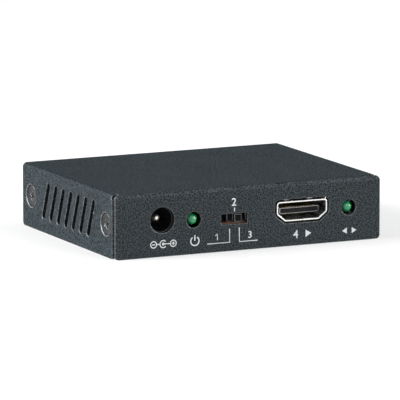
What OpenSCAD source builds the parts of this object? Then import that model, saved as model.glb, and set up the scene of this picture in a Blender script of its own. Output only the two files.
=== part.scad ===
// Small sheet-metal box that adds a chosen sound input to a video signal.
// The front face looks toward -Y, the rear face toward +Y, and the case
// stands on the plane z = 0 with its middle over the origin.

/* [Case] */
// Width across the side walls
case_w = 77; // [76:0.5:90]
// Depth from the front face to the rear edge of the cover
case_d = 60; // [59:0.5:80]
// Height of the closed case
case_h = 17; // [16.8:0.1:22]
// Thickness of the bent sheet
sheet_t = 1; // [0.8:0.1:1.2]
// Outer radius of the bends
bend_r = 1.2; // [1.1:0.1:1.5]
// Slit between each side wall and the front panel
corner_slit = 0.9; // [0.5:0.1:1.4]
// Radius of the rounded lower corners
corner_r = 1.1; // [0.5:0.1:1.5]
// Gap round the rear panel
panel_gap = 0.3; // [0.2:0.05:0.6]

/* [Vent slots] */
// Slots in each side wall
vent_count = 7; // [3:1:7]
// Distance from one slot to the next, as a share of the case's depth
vent_pitch_share = 0.0808; // [0.05:0.0001:0.083]
// Overall length of a slot, as a share of the case's height
vent_len_share = 0.635; // [0.35:0.005:0.65]
// Width of a slot
vent_w = 1.8; // [1:0.1:2.1]
// Lean of the slots, tops toward the front
vent_lean = 22; // [0:1:30]
// Height of the middle of the slots, as a share of the case's height
vent_z_share = 0.515; // [0.47:0.005:0.56]

/* [Cover screws] */
// From the front face to the front screw
screw_front = 6; // [5.5:0.1:6.5]
// From the rear edge to the rear screw
screw_rear = 5.5; // [5.4:0.1:6.5]
// Height of the screws
screw_z = 8.7; // [8.6:0.1:9.4]
// Radius of the countersunk head
head_r = 2.75; // [2.4:0.05:3]
// Radius of the thread
thread_r = 1.5; // [1.2:0.05:1.5]
// Length of the screw
screw_len = 5; // [4.2:0.1:5.5]

/* [Circuit board] */
// Thickness of the board
board_t = 1.6; // [1:0.1:1.6]
// Height of the spacers under the board, as a share of the case's height
stand_share = 0.2176; // [0.19:0.0001:0.235]
// Radius of a spacer
stand_r = 2.5; // [2.2:0.1:2.8]
// Gap from the board's front and rear edges to the panels
board_gap = 0.6; // [0.55:0.05:0.9]

/* [Power inlet] */
// Place of the inlet across the front, as a share of the case's width
jack_x_share = -0.3247; // [-0.33:0.0001:-0.32]
// Radius of the hole in the panel
jack_hole_r = 3.45; // [3.3:0.05:3.8]
// Radius of the barrel's bore
barrel_r = 3.2; // [3:0.05:3.25]
// Radius of the centre pin
pin_r = 1; // [0.8:0.05:1.25]
// Depth of the inlet's body
jack_len = 12; // [11:0.25:12.5]

/* [Lights] */
// Place of the power light across the front, as a share of the case's width
power_x_share = -0.2078; // [-0.213:0.0001:-0.202]
// Place of the link light across the front, as a share of the case's width
link_x_share = 0.3792; // [0.37:0.0001:0.383]
// Radius of a light's lens
lens_r = 1.5; // [1.2:0.1:1.6]
// Radius of a light's hole in the panel
light_hole_r = 2.1; // [1.8:0.05:2.3]

/* [Input switch] */
// Place of the switch across the front, as a share of the case's width
switch_x_share = -0.0558; // [-0.065:0.0001:-0.045]
// Width of the slot in the panel
slot_w = 7.6; // [7:0.1:8]
// Height of the slot in the panel
slot_h = 2.8; // [2.4:0.1:3]
// Distance from one switch position to the next
step = 1.5; // [1:0.1:1.6]
// Width and height of the switch's knob
knob_s = 2; // [1.6:0.1:2.1]

/* [Video ports] */
// Place of the output across the front, as a share of the case's width
video_out_x_share = 0.2013; // [0.19:0.0001:0.213]
// Place of the input across the rear, as a share of the case's width
video_in_x_share = 0.2065; // [0.195:0.0001:0.22]
// Clear width of a port
port_w = 14; // [13.8:0.05:14.2]
// Clear height of a port
port_h = 4.6; // [4.4:0.05:4.8]
// Thickness of a port's shell
shell_t = 0.35; // [0.25:0.05:0.4]
// Gap from a shell to its cut-out
port_gap = 0.55; // [0.4:0.05:0.8]
// Depth of a port's shell
shell_len = 11.5; // [10.5:0.1:12]

/* [Line input] */
// Place of the line input across the rear, as a share of the case's width
line_x_share = -0.0805; // [-0.088:0.0001:-0.072]
// Radius of the plug's bore
plug_r = 1.85; // [1.8:0.01:1.9]
// Radius of the metal ring round the bore
ring_r = 2.62; // [2.4:0.02:2.7]
// Radius of the hole in the panel
line_hole_r = 3.8; // [3.6:0.05:4.1]

/* [Optical input] */
// Place of the optical input across the rear, as a share of the case's width
optical_x_share = -0.3143; // [-0.324:0.0001:-0.306]
// Width of the housing
optical_w = 10.4; // [10.2:0.1:10.8]
// Gap between the housing and the cover
optical_headroom = 0.6; // [0.5:0.05:0.8]
// Width of the port behind the shutter
mouth_w = 8.2; // [7.6:0.1:8.4]
// Thickness of the housing above the port
mouth_roof = 0.85; // [0.8:0.05:1.3]

/* [Hidden] */
$fn = 48;

// Colours of the materials
charcoal = "#3d4045";
steel = "#b9bcc0";
nickel = "#d8d9da";
black = "#17181a";
dark_grey = "#2a2c30";
brass = "#c9a24b";
board_green = "#14512f";
lens_green = "#1e9c57";
phenolic = "#5a3a22";
bare_alloy = "#a9adb2";
ferrite = "#34353a";
sand = "#b79a6c";

// Clearances and overruns shared by many pieces
cut = 0.5;
fit_gap = 0.15;
press_gap = 0.03;
slide_gap = 0.1;

// Planes that everything is placed from
front_y = -case_d / 2;
rear_y = case_d / 2;
front_in_y = front_y + sheet_t;
rear_face_y = rear_y - panel_gap;
rear_in_y = rear_face_y - sheet_t;
stand_h = stand_share * case_h;
board_top = sheet_t + stand_h + board_t;
ear_x = case_w / 2 - sheet_t - fit_gap;
base_w = case_w - 2 * (sheet_t + panel_gap);

// Places across the panels
jack_x = jack_x_share * case_w;
power_x = power_x_share * case_w;
link_x = link_x_share * case_w;
switch_x = switch_x_share * case_w;
video_out_x = video_out_x_share * case_w;
video_in_x = video_in_x_share * case_w;
line_x = line_x_share * case_w;
optical_x = optical_x_share * case_w;

// Slots in the side walls
vent_pitch = vent_pitch_share * case_d;
vent_len = vent_len_share * case_h;
vent_z = vent_z_share * case_h;

// Round relief at the top of each corner slit, and how far it opens the top face
corner_relief_r = 0.8;
relief_open = 0.12;
// How far each slit runs past the start of the side bend
slit_run = 0.35;

// Cover screws, their ears and their press nuts
head_sink = 0.3;
head_h = head_r - thread_r;
head_gap = 0.08;
ear_w = 6.8;
ear_rise = 3.6;
ear_h = screw_z + ear_rise;
relief_w = 0.4;
ear_root = 1;
nut_shank_r = thread_r + 0.6;
nut_shank_h = 0.6;
nut_r = thread_r + 1.1;
nut_h = 1.5;
recess_r = 1.35;
recess_w = 0.55;
recess_depth = 0.75;

// Board, spacers and board screws
board_side_gap = 4.2;
board_w = case_w - 2 * board_side_gap - 2 * panel_gap + 2 * fit_gap;
board_front = front_in_y + board_gap;
board_rear = rear_in_y - board_gap;
board_d = board_rear - board_front;
board_mid_y = (board_front + board_rear) / 2;
board_screw_r = 1.25;
spacer_shank_r = 1.9;
shank_sink = 0.1;
pan_r = 2.2;
pan_h = 1.3;
board_screw_reach = 2.8;
board_screw_len = board_t + board_screw_reach;
spacer_inset = 3.6;
spacer_step = 4.6;
link_clear = 12;
rear_clear = 5.4;
tail_len = 0.9;

// Power inlet, measured from the panel's inner face and the board's top
jack_axis_h = 3.35;
jack_half = 3.9;
jack_w = 9;
jack_front = 0.15;
bore_len = 9.5;
notch_gap = 0.25;
wing_w = 0.9;
wing_h = 1.2;
wing_share = 0.5;
pin_tip = 2.2;
pin_neck_r = 0.7;
terminal_t = 0.4;
terminal_w = 2.4;
foot_len = 1.8;
foot_t = 0.3;
sleeve_t = 0.3;
sleeve_w = 2.2;
sleeve_bump = 0.45;

// Lights
lens_recess = 0.2;
lens_body = 2.8;
flange_extra = 0.4;
flange_t = 1;
light_axis_h = 2.8;
holder_w = 4.2;
holder_len = 3;
lead_s = 0.5;
lead_pitch = 2.54;
lead_gap = 0.1;
lead_hole_r = 0.5;

// Input switch
switch_w = 10;
switch_d = 4;
switch_front = 0.5;
switch_wall = 0.35;
base_t = 1.1;
base_lip = 0.4;
frame_h = 3.2;
switch_axis_h = 2.2;
knob_recess = 0.9;
carriage_w = 5.6;
window_side = 1.4;
window_top = 0.25;
clip_w = 2.6;
clip_d = 1.6;
clip_t = 0.25;
switch_leg_w = 2;
switch_pin_pitch = 2;
switch_pin_count = 4;
switch_pin_s = 0.4;
switch_pin_y = 2.4;

// Video ports
port_axis_h = 2.95;
port_cut_w = 2.2;
port_cut_h = 1.75;
port_corner_r = 0.5;
mouth_recess = 0.05;
seam_w = 0.16;
tongue_w = 11.4;
tongue_t = 1.6;
tongue_recess = 1.8;
tongue_drop = 0.1;
block_len = 3.2;
contact_w = 0.4;
contact_t = 0.12;
contact_pitch = 1;
contact_bare = 0.5;
contact_count = 10;
shell_leg_w = 1.3;
shell_leg_front = 2.6;
shell_leg_rear = 8.6;
finger_w = 1.5;
finger_len = 3.6;
finger_slit = 0.3;
finger_x = 3.4;
finger_dip = 4;
finger_start = 1;

// Line input
line_axis_h = 2.5;
line_w = 7;
line_len = 12;
line_h = 5.1;
line_start = 0.4;
nose_r = 3.25;
nose_recess = 0.5;
nose_back = 0.5;
ring_len = 1;
line_bore_len = 11.6;
blade_t = 0.25;
blade_len = 1.7;
blade_h = 1.8;
blade_gap = 0.12;
blade_shares = [0.12, 0.36, 0.6, 0.82];

// Optical input
optical_len = 13;
optical_recess = 0.3;
flange_back = 0.5;
flange_drop = 0.35;
notch_side = 0.25;
notch_drop = 0.35;
mouth_z = 0.55;
optical_h = case_h - sheet_t - board_top - optical_headroom;
mouth_h = optical_h - mouth_z - mouth_roof;
mouth_cut_w = 2.2;
mouth_cut_h = 2.7;
mouth_corner_r = 0.3;
mouth_wall = 0.9;
cavity_len = 8.1;
cavity_side = 0.1;
cavity_top = 0.2;
flap_gap = 0.12;
knuckle_r = 0.56;
flap_front = 0;
hinge_pin_r = 0.25;
hinge_fit = 0.05;
coil_room = 1.1;
coil_turns = 6;
wire_r = 0.05;
coil_gap = 0.03;
coil_steps = 12;
wire_sides = 6;
coil_r = hinge_pin_r + coil_gap + wire_r;
coil_clear_r = coil_r + wire_r + coil_gap;
arm_x = coil_room - 3 * wire_r;
arm_len = 3;
hinge_z = mouth_z + mouth_h - flap_gap - knuckle_r;
hinge_y = flap_front + knuckle_r;
funnel_half = 1.7;
funnel_top = 0.72;
funnel_depth = 0.3;
funnel_floor = 0.5;
slot_half = 0.7;
slot_rise = 0.45;
slot_drop = 0.85;
slot_depth = 0.2;
pocket_w = 7;
pocket_wall = 0.8;
receiver_d = 3.2;
receiver_gap = 0.1;
lens_tube_r = 1.1;
lens_hole_gap = 0.1;
peg_r = 0.6;
peg_len = 1.2;
peg_inset = 0.9;
peg_y = 3.2;

// Places on the board, as shares of its half width and half depth
embedder_share = [0.12, 0.02];
controller_share = [0.62, -0.12];
memory_share = [0.62, 0.27];
audio_share = [-0.3, 0.22];
crystal_share = [-0.33, -0.2];
regulator_shares = [[-0.62, -0.3], [-0.62, -0.08]];
inductor_shares = [[-0.62, 0.13], [-0.62, 0.37]];
can_shares = [[0.88, 0.16], [0.88, -0.16], [-0.88, 0.01]];
surge_shares = [[0.36, -0.45], [0.54, -0.45], [0.36, 0.46], [0.54, 0.46]];
fuse_share = [-0.46, -0.47];
diode_share = [-0.26, -0.47];
ceramic_shares = [
    [-0.1, -0.37], [-0.02, -0.37], [0.06, -0.37], [0.14, -0.37], [0.22, -0.37], [0.3, -0.37],
    [-0.06, 0.41], [0.02, 0.41], [0.1, 0.41], [0.18, 0.41], [0.26, 0.41],
    [0.42, -0.37], [0.34, 0.41], [0.42, 0.41], [-0.46, 0.05], [-0.46, 0.13], [-0.46, 0.32],
    [-0.46, 0.4], [-0.78, -0.12], [-0.78, -0.22]
];
resistor_shares = [
    [-0.08, -0.44], [0, -0.44], [0.08, -0.44], [0.16, -0.44], [0.24, -0.44],
    [-0.3, 0.41], [-0.22, 0.41], [-0.14, 0.41], [0.54, -0.37], [0.62, -0.37], [0.8, 0.37],
    [0.8, 0.45], [0.78, -0.37], [0.7, -0.37], [-0.78, 0.24], [-0.78, 0.16]
];

// Sizes of the board's components
embedder_s = 14;
embedder_h = 1.4;
embedder_pin_count = 16;
embedder_pitch = 0.8;
controller_s = 7;
controller_h = 1.2;
controller_pin_count = 12;
controller_pitch = 0.5;
audio_size = [6.5, 4.4, 1.1];
audio_pin_count = 10;
audio_pitch = 0.65;
memory_size = [4.9, 3.9, 1.5];
memory_pin_count = 4;
memory_pitch = 1.27;
pin_reach = 1;
pin_t = 0.15;
chip_lift = 0.1;
tape_t = 0.3;
sink_base = 1.3;
sink_h = 5.5;
fin_count = 7;
fin_share = 0.45;
crystal_size = [7.2, 3.4, 1.8];
regulator_size = [6.5, 3.5, 1.6];
regulator_foot_w = 0.7;
regulator_pitch = 2.3;
inductor_size = [5, 5, 2.9];
inductor_cap_r = 1.7;
inductor_cap_h = 0.2;
can_r = 2.5;
can_h = 5.4;
can_base = 5.3;
can_base_h = 0.9;
fuse_size = [4.5, 3.2, 1];
diode_size = [4.3, 2.6, 2.2];
diode_foot_len = 0.7;
surge_size = [2.5, 1, 0.55];
chip_part_size = [1.6, 0.8, 0.8];
resistor_size = [1.6, 0.8, 0.45];

// Extrudes a section drawn in X and Z from from_y toward +Y
module slab_y(from_y, length) {
    translate([0, from_y + length, 0])
        rotate([90, 0, 0])
            linear_extrude(length) children();
}

// Extrudes a section drawn in Y and Z from from_x toward +X
module slab_x(from_x, length) {
    translate([from_x, 0, 0])
        rotate([90, 0, 90])
            linear_extrude(length) children();
}

// Round bar along +Y
module rod_y(r, length) {
    rotate([-90, 0, 0]) cylinder(r = r, h = length);
}

// Box centred over the origin
module block(size) {
    translate([-size.x / 2, -size.y / 2, 0]) cube(size);
}

// Box between two corners
module span(a, b) {
    translate(a) cube(b - a);
}

// Corner points of an outline, each replaced by an arc of radius r
function rounded(points, r, steps = 4) = [
    for (i = [0 : len(points) - 1])
        let (
            p = points[i],
            u = unit(points[(i + len(points) - 1) % len(points)] - p),
            v = unit(points[(i + 1) % len(points)] - p),
            half = acos(u * v) / 2,
            middle = p + unit(u + v) * r / sin(half),
            first = p + u * r / tan(half) - middle,
            start = atan2(first.y, first.x)
        )
        for (k = [0 : steps])
            let (a = start + (180 - 2 * half) * k / steps)
            middle + r * [cos(a), sin(a)]
];
function unit(v) = v / norm(v);

// Box outline with its lower corners cut off, grown by g on every side
function cut_box(w, h, cut_w, cut_h, g) =
    let (
        k = 1 + g * (cut_w + cut_h - norm([cut_w, cut_h])) / (cut_w * cut_h),
        x = w / 2 + g,
        z = h / 2 + g,
        cx = cut_w * k,
        cz = cut_h * k
    )
    [[-x + cx, -z], [x - cx, -z], [x, -z + cz], [x, z], [-x, z], [-x, -z + cz]];

// Outline of a video port grown by g
module port_outline(g) {
    polygon(rounded(cut_box(port_w, port_h, port_cut_w, port_cut_h, g), port_corner_r + max(g, 0)));
}

// Outline of the optical mouth grown by g, standing on its lower edge
module mouth_outline(g) {
    translate([0, mouth_z + mouth_h / 2])
        polygon(rounded(cut_box(mouth_w, mouth_h, mouth_cut_w, mouth_cut_h, g), mouth_corner_r));
}

// Section of a sheet bent through a right angle, its outer corner at the origin
module bent_section(foot, leg) {
    translate([bend_r, 0]) square([foot - bend_r, sheet_t]);
    translate([0, bend_r]) square([sheet_t, leg - bend_r]);
    intersection() {
        difference() {
            translate([bend_r, bend_r]) circle(bend_r);
            translate([bend_r, bend_r]) circle(bend_r - sheet_t);
        }
        square(bend_r);
    }
}

// What a rounded corner of radius r loses, the corner at the origin
module corner_loss(r) {
    difference() {
        translate([-cut, -cut]) square(r + cut);
        translate([r, r]) circle(r);
    }
}

// Places the front connectors: panel's inner face, board's top, +Y inward
module at_front(x) {
    translate([x, front_in_y, board_top]) children();
}

// Places the rear connectors the same way, turned round
module at_rear(x) {
    translate([x, rear_in_y, board_top]) rotate([0, 0, 180]) children();
}

// Places a component on the board
module at_board(share) {
    translate([share.x * board_w / 2, board_mid_y + share.y * board_d / 2, board_top]) children();
}

// Places the cover screws on the side walls, +Z outward
module at_cover_screws() {
    for (side = [-1, 1], y = [front_y + screw_front, rear_y - screw_rear])
        translate([side * case_w / 2, y, screw_z])
            rotate([0, side * 90, 0]) children();
}

// Places the four board screws
module at_board_screws() {
    spacer_x = board_w / 2 - spacer_inset;
    jack_back = front_in_y + jack_front + jack_len;
    optical_back = rear_in_y - optical_len;
    places = [
        [-spacer_x, jack_back + spacer_step],
        [-spacer_x, optical_back - spacer_step],
        [spacer_x, front_in_y + link_clear],
        [spacer_x, board_rear - rear_clear]
    ];
    for (p = places) translate([p.x, p.y, 0]) children();
}

// Cross recess cut down from z = 0
module cross_recess(r) {
    for (turn = [0, 90])
        rotate([0, 0, turn])
            translate([-r, -recess_w / 2, -recess_depth])
                cube([2 * r, recess_w, recess_depth + cut]);
}

// Solid of the cover's envelope, its walls moved inward by inset
module cover_envelope(inset, overrun) {
    w = case_w - 2 * inset;
    h = case_h - inset;
    r = bend_r - inset;
    intersection() {
        slab_y(front_y - overrun, case_d + 2 * overrun) {
            translate([-w / 2, -overrun]) square([w, h - r + overrun]);
            translate([-w / 2 + r, -overrun]) square([w - 2 * r, h + overrun]);
            for (side = [-1, 1]) translate([side * (w / 2 - r), h - r]) circle(r);
        }
        slab_x(-w / 2 - cut, w + 2 * cut) {
            translate([front_y + inset, -overrun]) square([case_d, h - r + overrun]);
            translate([front_y + inset + r, -overrun]) square([case_d - r, h + overrun]);
            translate([front_y + inset + r, h - r]) circle(r);
        }
    }
}

// Slanted slots through both side walls
module vent_cuts() {
    straight = vent_len - vent_w;
    slab_x(-case_w / 2 - cut, case_w + 2 * cut)
        for (i = [0 : vent_count - 1])
            translate([(i - (vent_count - 1) / 2) * vent_pitch, vent_z]) rotate(vent_lean) {
                square([vent_w, straight], center = true);
                for (end = [-1, 1]) translate([0, end * straight / 2]) circle(vent_w / 2);
            }
}

// Openings of the front panel
module front_cuts() {
    depth = sheet_t + 2 * cut;
    translate([0, -sheet_t - cut, 0]) {
        at_front(jack_x) translate([0, 0, jack_axis_h]) rod_y(jack_hole_r, depth);
        for (x = [power_x, link_x])
            at_front(x) translate([0, 0, light_axis_h]) rod_y(light_hole_r, depth);
        at_front(switch_x)
            translate([-slot_w / 2, 0, switch_axis_h - slot_h / 2]) cube([slot_w, depth, slot_h]);
        at_front(video_out_x)
            translate([0, 0, port_axis_h]) slab_y(0, depth) port_outline(shell_t + port_gap);
    }
}

// Slits that free the side walls from the front panel, each with a round relief at its top
module corner_slits() {
    slit_y = front_y + sheet_t;
    slit_len = bend_r + slit_run + cut;
    for (side = [0, 1])
        mirror([side, 0, 0]) {
            span([case_w / 2 + cut - slit_len, slit_y, -cut],
                [case_w / 2 + cut, slit_y + corner_slit, case_h + cut]);
            slab_x(case_w / 2 + cut - slit_len, slit_len)
                translate([slit_y + corner_relief_r, case_h + relief_open - corner_relief_r])
                    circle(corner_relief_r);
        }
}

// Rounds the lower corners of the front panel and of the side walls
module lower_corners() {
    wall_front = front_y + sheet_t + corner_slit;
    for (side = [0, 1])
        mirror([side, 0, 0])
            slab_y(front_y - cut, sheet_t + cut)
                translate([-case_w / 2, 0]) corner_loss(corner_r);
    slab_x(-case_w / 2 - cut, case_w + 2 * cut) {
        translate([rear_y, 0]) mirror([1, 0]) corner_loss(corner_r);
        translate([wall_front, 0])
            intersection() {
                corner_loss(corner_r);
                translate([0, -cut]) square([corner_r, corner_r + cut]);
            }
    }
}

// Cone cut through the side wall for each countersunk screw
module countersinks() {
    mouth_r = head_r + head_sink + head_gap;
    at_cover_screws()
        translate([0, 0, -sheet_t - cut])
            cylinder(r1 = mouth_r - sheet_t - cut, r2 = mouth_r + cut, h = sheet_t + 2 * cut);
}

// Cover: top, side walls and front panel bent from one sheet
module top_cover() {
    color(charcoal)
        difference() {
            cover_envelope(0, 0);
            cover_envelope(sheet_t, cut);
            corner_slits();
            lower_corners();
            vent_cuts();
            front_cuts();
            countersinks();
        }
}

// Ears that take the cover screws, bent up from the floor's edges
module at_ears() {
    for (side = [0, 1], y = [front_y + screw_front, rear_y - screw_rear])
        mirror([side, 0, 0]) translate([ear_x, y, 0]) children();
}

// Base: floor, rear panel and four ears bent from one sheet
module base_tray() {
    floor_front = front_in_y + panel_gap;
    color(charcoal)
        difference() {
            union() {
                difference() {
                    slab_x(-base_w / 2, base_w)
                        translate([rear_face_y, 0]) mirror([1, 0])
                            bent_section(rear_face_y - floor_front, case_h - sheet_t - panel_gap);
                    at_ears()
                        span([-bend_r - ear_root, -ear_w / 2 - relief_w, -cut],
                            [cut, ear_w / 2 + relief_w, bend_r + cut]);
                }
                at_ears()
                    slab_y(-ear_w / 2, ear_w)
                        mirror([1, 0]) bent_section(bend_r + 2 * ear_root, ear_h);
            }
            ear_and_spacer_holes();
            rear_cuts();
        }
}

// Holes for the press nuts in the ears and for the spacers in the floor
module ear_and_spacer_holes() {
    at_cover_screws()
        translate([0, 0, -2 * sheet_t - fit_gap - cut])
            cylinder(r = nut_shank_r + press_gap, h = sheet_t + cut + fit_gap);
    at_board_screws()
        translate([0, 0, -cut]) cylinder(r = spacer_shank_r + press_gap, h = sheet_t + 2 * cut);
}

// Openings of the rear panel
module rear_cuts() {
    depth = sheet_t + 2 * cut;
    translate([0, sheet_t + cut, 0]) {
        at_rear(video_in_x)
            translate([0, 0, port_axis_h]) slab_y(0, depth) port_outline(shell_t + port_gap);
        at_rear(line_x) translate([0, 0, line_axis_h]) rod_y(line_hole_r, depth);
        at_rear(optical_x)
            span([-optical_w / 2 - notch_side, 0, -flange_drop - notch_drop],
                [optical_w / 2 + notch_side, depth, case_h]);
    }
}

// Countersunk screws that hold the cover to the ears
module cover_screws() {
    color(black)
        at_cover_screws()
            translate([0, 0, -head_sink])
                difference() {
                    union() {
                        translate([0, 0, -head_h]) cylinder(r1 = thread_r, r2 = head_r, h = head_h);
                        translate([0, 0, -screw_len]) cylinder(r = thread_r, h = screw_len - head_h);
                    }
                    cross_recess(recess_r);
                }
}

// Press nuts behind the ears
module press_nuts() {
    color(steel)
        at_cover_screws()
            translate([0, 0, -2 * sheet_t - fit_gap])
                difference() {
                    union() {
                        cylinder(r = nut_shank_r, h = nut_shank_h);
                        translate([0, 0, -nut_h]) cylinder(r = nut_r, h = nut_h);
                    }
                    translate([0, 0, -nut_h - cut])
                        cylinder(r = thread_r + press_gap, h = nut_h + nut_shank_h + 2 * cut);
                }
}

// Threaded spacers pressed into the floor
module board_spacers() {
    color(steel)
        at_board_screws()
            difference() {
                union() {
                    translate([0, 0, shank_sink]) cylinder(r = spacer_shank_r, h = sheet_t);
                    translate([0, 0, sheet_t]) cylinder(r = stand_r, h = stand_h);
                }
                cylinder(r = board_screw_r + press_gap, h = board_top);
            }
}

// Pan-head screws that hold the board on its spacers
module board_screws() {
    color(steel)
        at_board_screws()
            translate([0, 0, board_top]) {
                difference() {
                    union() {
                        cylinder(r = pan_r, h = pan_h);
                        translate([0, 0, -board_screw_len])
                            cylinder(r = board_screw_r, h = board_screw_len + pan_h / 2);
                    }
                    translate([0, 0, pan_h]) cross_recess(recess_r);
                }
            }
}

// Places the four legs of a video port's shell
module at_shell_legs() {
    for (side = [-1, 1], y = [shell_leg_front, shell_leg_rear])
        translate([side * (port_w + shell_t) / 2, y, 0]) children();
}

// Places the two leads of a light
module at_light_leads() {
    y = lens_body + lens_recess - sheet_t + lens_r + flange_t + holder_len + lead_gap;
    for (side = [-1, 1]) translate([side * lead_pitch / 2, y, 0]) children();
}

// Places the switch's four pins
module at_switch_pins() {
    for (i = [0 : switch_pin_count - 1])
        translate([(i - (switch_pin_count - 1) / 2) * switch_pin_pitch, switch_pin_y, 0]) children();
}

// Places the receiver's three leads
module at_optical_leads() {
    y = cavity_len + pocket_wall + receiver_gap + receiver_d / 2;
    for (i = [-1 : 1]) translate([i * lead_pitch, y, 0]) children();
}

// Hole or slot through the board
module board_slot(w, d) {
    translate([0, 0, -board_t - cut]) block([w, d, board_t + 2 * cut]);
}
module board_hole(r) {
    translate([0, 0, -board_t - cut]) cylinder(r = r, h = board_t + 2 * cut);
}

// Printed circuit board
module circuit_board() {
    color(board_green)
        difference() {
            translate([0, board_mid_y, board_top - board_t]) block([board_w, board_d, board_t]);
            at_board_screws()
                translate([0, 0, board_top]) board_hole(board_screw_r + slide_gap);
            at_front(jack_x)
                span([-jack_w / 2 - notch_gap, 0, -board_t - cut],
                    [jack_w / 2 + notch_gap, jack_front + jack_len + notch_gap, cut]);
            for (x = [power_x, link_x]) at_front(x) at_light_leads() board_hole(lead_hole_r);
            at_front(switch_x) {
                at_switch_pins() board_slot(switch_pin_s + fit_gap, switch_pin_s + fit_gap);
                for (side = [-1, 1])
                    translate([side * (switch_w - switch_wall) / 2, switch_front + switch_d / 2, 0])
                        board_slot(switch_wall + 2 * fit_gap, switch_leg_w + 2 * fit_gap);
            }
            at_front(video_out_x) leg_slots();
            at_rear(video_in_x) leg_slots();
            at_rear(optical_x) {
                at_optical_leads() board_hole(lead_hole_r);
                at_pegs() board_hole(peg_r + slide_gap);
            }
        }
}
module leg_slots() {
    at_shell_legs() board_slot(shell_t + 2 * fit_gap, shell_leg_w + 2 * fit_gap);
}

// Body of the power inlet with its barrel
module dc_jack_housing() {
    back = jack_front + jack_len;
    sleeve_x = -barrel_r - sleeve_t - 2 * press_gap;
    color(black)
        at_front(jack_x)
            difference() {
                union() {
                    span([-jack_w / 2, jack_front, jack_axis_h - jack_half],
                        [jack_w / 2, back, jack_axis_h + jack_half]);
                    translate([0, jack_front + jack_len * (1 - wing_share) / 2, 0])
                        span([-jack_w / 2 - wing_w, 0, 0],
                            [jack_w / 2 + wing_w, jack_len * wing_share, wing_h]);
                }
                translate([0, 0, jack_axis_h]) {
                    translate([0, jack_front - cut, 0]) rod_y(barrel_r, bore_len + cut);
                    rod_y(pin_neck_r + press_gap, back + cut);
                    span([sleeve_x, pin_tip, -sleeve_w / 2 - slide_gap],
                        [-barrel_r / 2, jack_front + bore_len, sleeve_w / 2 + slide_gap]);
                    span([sleeve_x, pin_tip, -sleeve_w / 2 - slide_gap],
                        [press_gap - barrel_r, back + cut, sleeve_w / 2 + slide_gap]);
                }
            }
}

// Centre pin of the power inlet with its soldering foot
module dc_jack_pin() {
    back = jack_front + jack_len;
    color(nickel)
        at_front(jack_x) {
            translate([0, pin_tip + pin_r, jack_axis_h]) {
                sphere(pin_r);
                rod_y(pin_r, jack_front + bore_len - pin_tip - pin_r);
                rod_y(pin_neck_r, back + slide_gap + terminal_t / 2 - pin_tip - pin_r);
            }
            span([-terminal_w / 2, back + slide_gap, 0],
                [terminal_w / 2, back + slide_gap + terminal_t, jack_axis_h + pin_r]);
            span([-terminal_w / 2, back + slide_gap, 0],
                [terminal_w / 2, back + slide_gap + foot_len, foot_t]);
        }
}

// Spring of the power inlet that touches the plug's sleeve
module dc_jack_spring() {
    back = jack_front + jack_len;
    x = -barrel_r - sleeve_t;
    color(brass)
        at_front(jack_x) {
            span([x, pin_tip + slide_gap, jack_axis_h - sleeve_w / 2],
                [x + sleeve_t, back + foot_len, jack_axis_h + sleeve_w / 2]);
            span([x, back + foot_len - sleeve_w / 2, 0],
                [x + sleeve_t, back + foot_len, jack_axis_h]);
            span([x - foot_len / 2, back + foot_len - sleeve_w / 2, 0],
                [x + sleeve_t, back + foot_len, foot_t]);
            translate([x + sleeve_t, jack_front + bore_len / 2, jack_axis_h - sleeve_w / 2])
                intersection() {
                    cylinder(r = sleeve_bump, h = sleeve_w);
                    translate([-sleeve_t / 2, -sleeve_bump, 0])
                        cube([sleeve_bump + sleeve_t, 2 * sleeve_bump, sleeve_w]);
                }
        }
}

// Domed lens of a light
module light_lens() {
    dome_y = -sheet_t + lens_recess + lens_r;
    color(lens_green)
        translate([0, dome_y, light_axis_h]) {
            sphere(lens_r);
            rod_y(lens_r, lens_body);
            translate([0, lens_body, 0]) rod_y(lens_r + flange_extra, flange_t);
        }
}

// Leads of a light, bent down through the board
module light_leads() {
    color(steel)
        at_light_leads() {
            span([-lead_s / 2, -holder_len - lead_gap, light_axis_h - lead_s / 2],
                [lead_s / 2, lead_s / 2, light_axis_h + lead_s / 2]);
            span([-lead_s / 2, -lead_s / 2, -board_t - tail_len],
                [lead_s / 2, lead_s / 2, light_axis_h]);
        }
}

// Black spacer that holds a light at its height
module light_holder() {
    flange_y = -sheet_t + lens_recess + lens_r + lens_body + flange_t;
    side = lead_s / 2 + lead_gap;
    color(black)
        difference() {
            translate([0, flange_y + (holder_len - lead_s) / 2, 0])
                block([holder_w, holder_len - lead_s, light_axis_h + holder_w / 2]);
            at_light_leads()
                span([-side, -holder_len - cut, light_axis_h - side],
                    [side, cut, light_axis_h + side]);
        }
}
module power_light_lens() at_front(power_x) light_lens();
module power_light_leads() at_front(power_x) light_leads();
module power_light_holder() at_front(power_x) light_holder();
module link_light_lens() at_front(link_x) light_lens();
module link_light_leads() at_front(link_x) light_leads();
module link_light_holder() at_front(link_x) light_holder();

// Folded steel case of the switch, open underneath
module switch_frame() {
    color(steel)
        at_front(switch_x) {
            difference() {
                span([-switch_w / 2, switch_front, base_t],
                    [switch_w / 2, switch_front + switch_d, base_t + frame_h]);
                span([-switch_w / 2 + switch_wall, switch_front + switch_wall, 0],
                    [switch_w / 2 - switch_wall, switch_front + switch_d - switch_wall,
                        base_t + frame_h - switch_wall]);
                span([-knob_s / 2 - step - window_side, switch_front - cut, 0],
                    [knob_s / 2 + step + window_side, switch_front + switch_wall + cut,
                        switch_axis_h + knob_s / 2 + window_top]);
            }
            for (side = [-1, 1])
                translate([side * (switch_w - switch_wall) / 2, switch_front + switch_d / 2,
                    -board_t - tail_len])
                    block([switch_wall, switch_leg_w, board_t + tail_len + base_t + cut]);
        }
}

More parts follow.
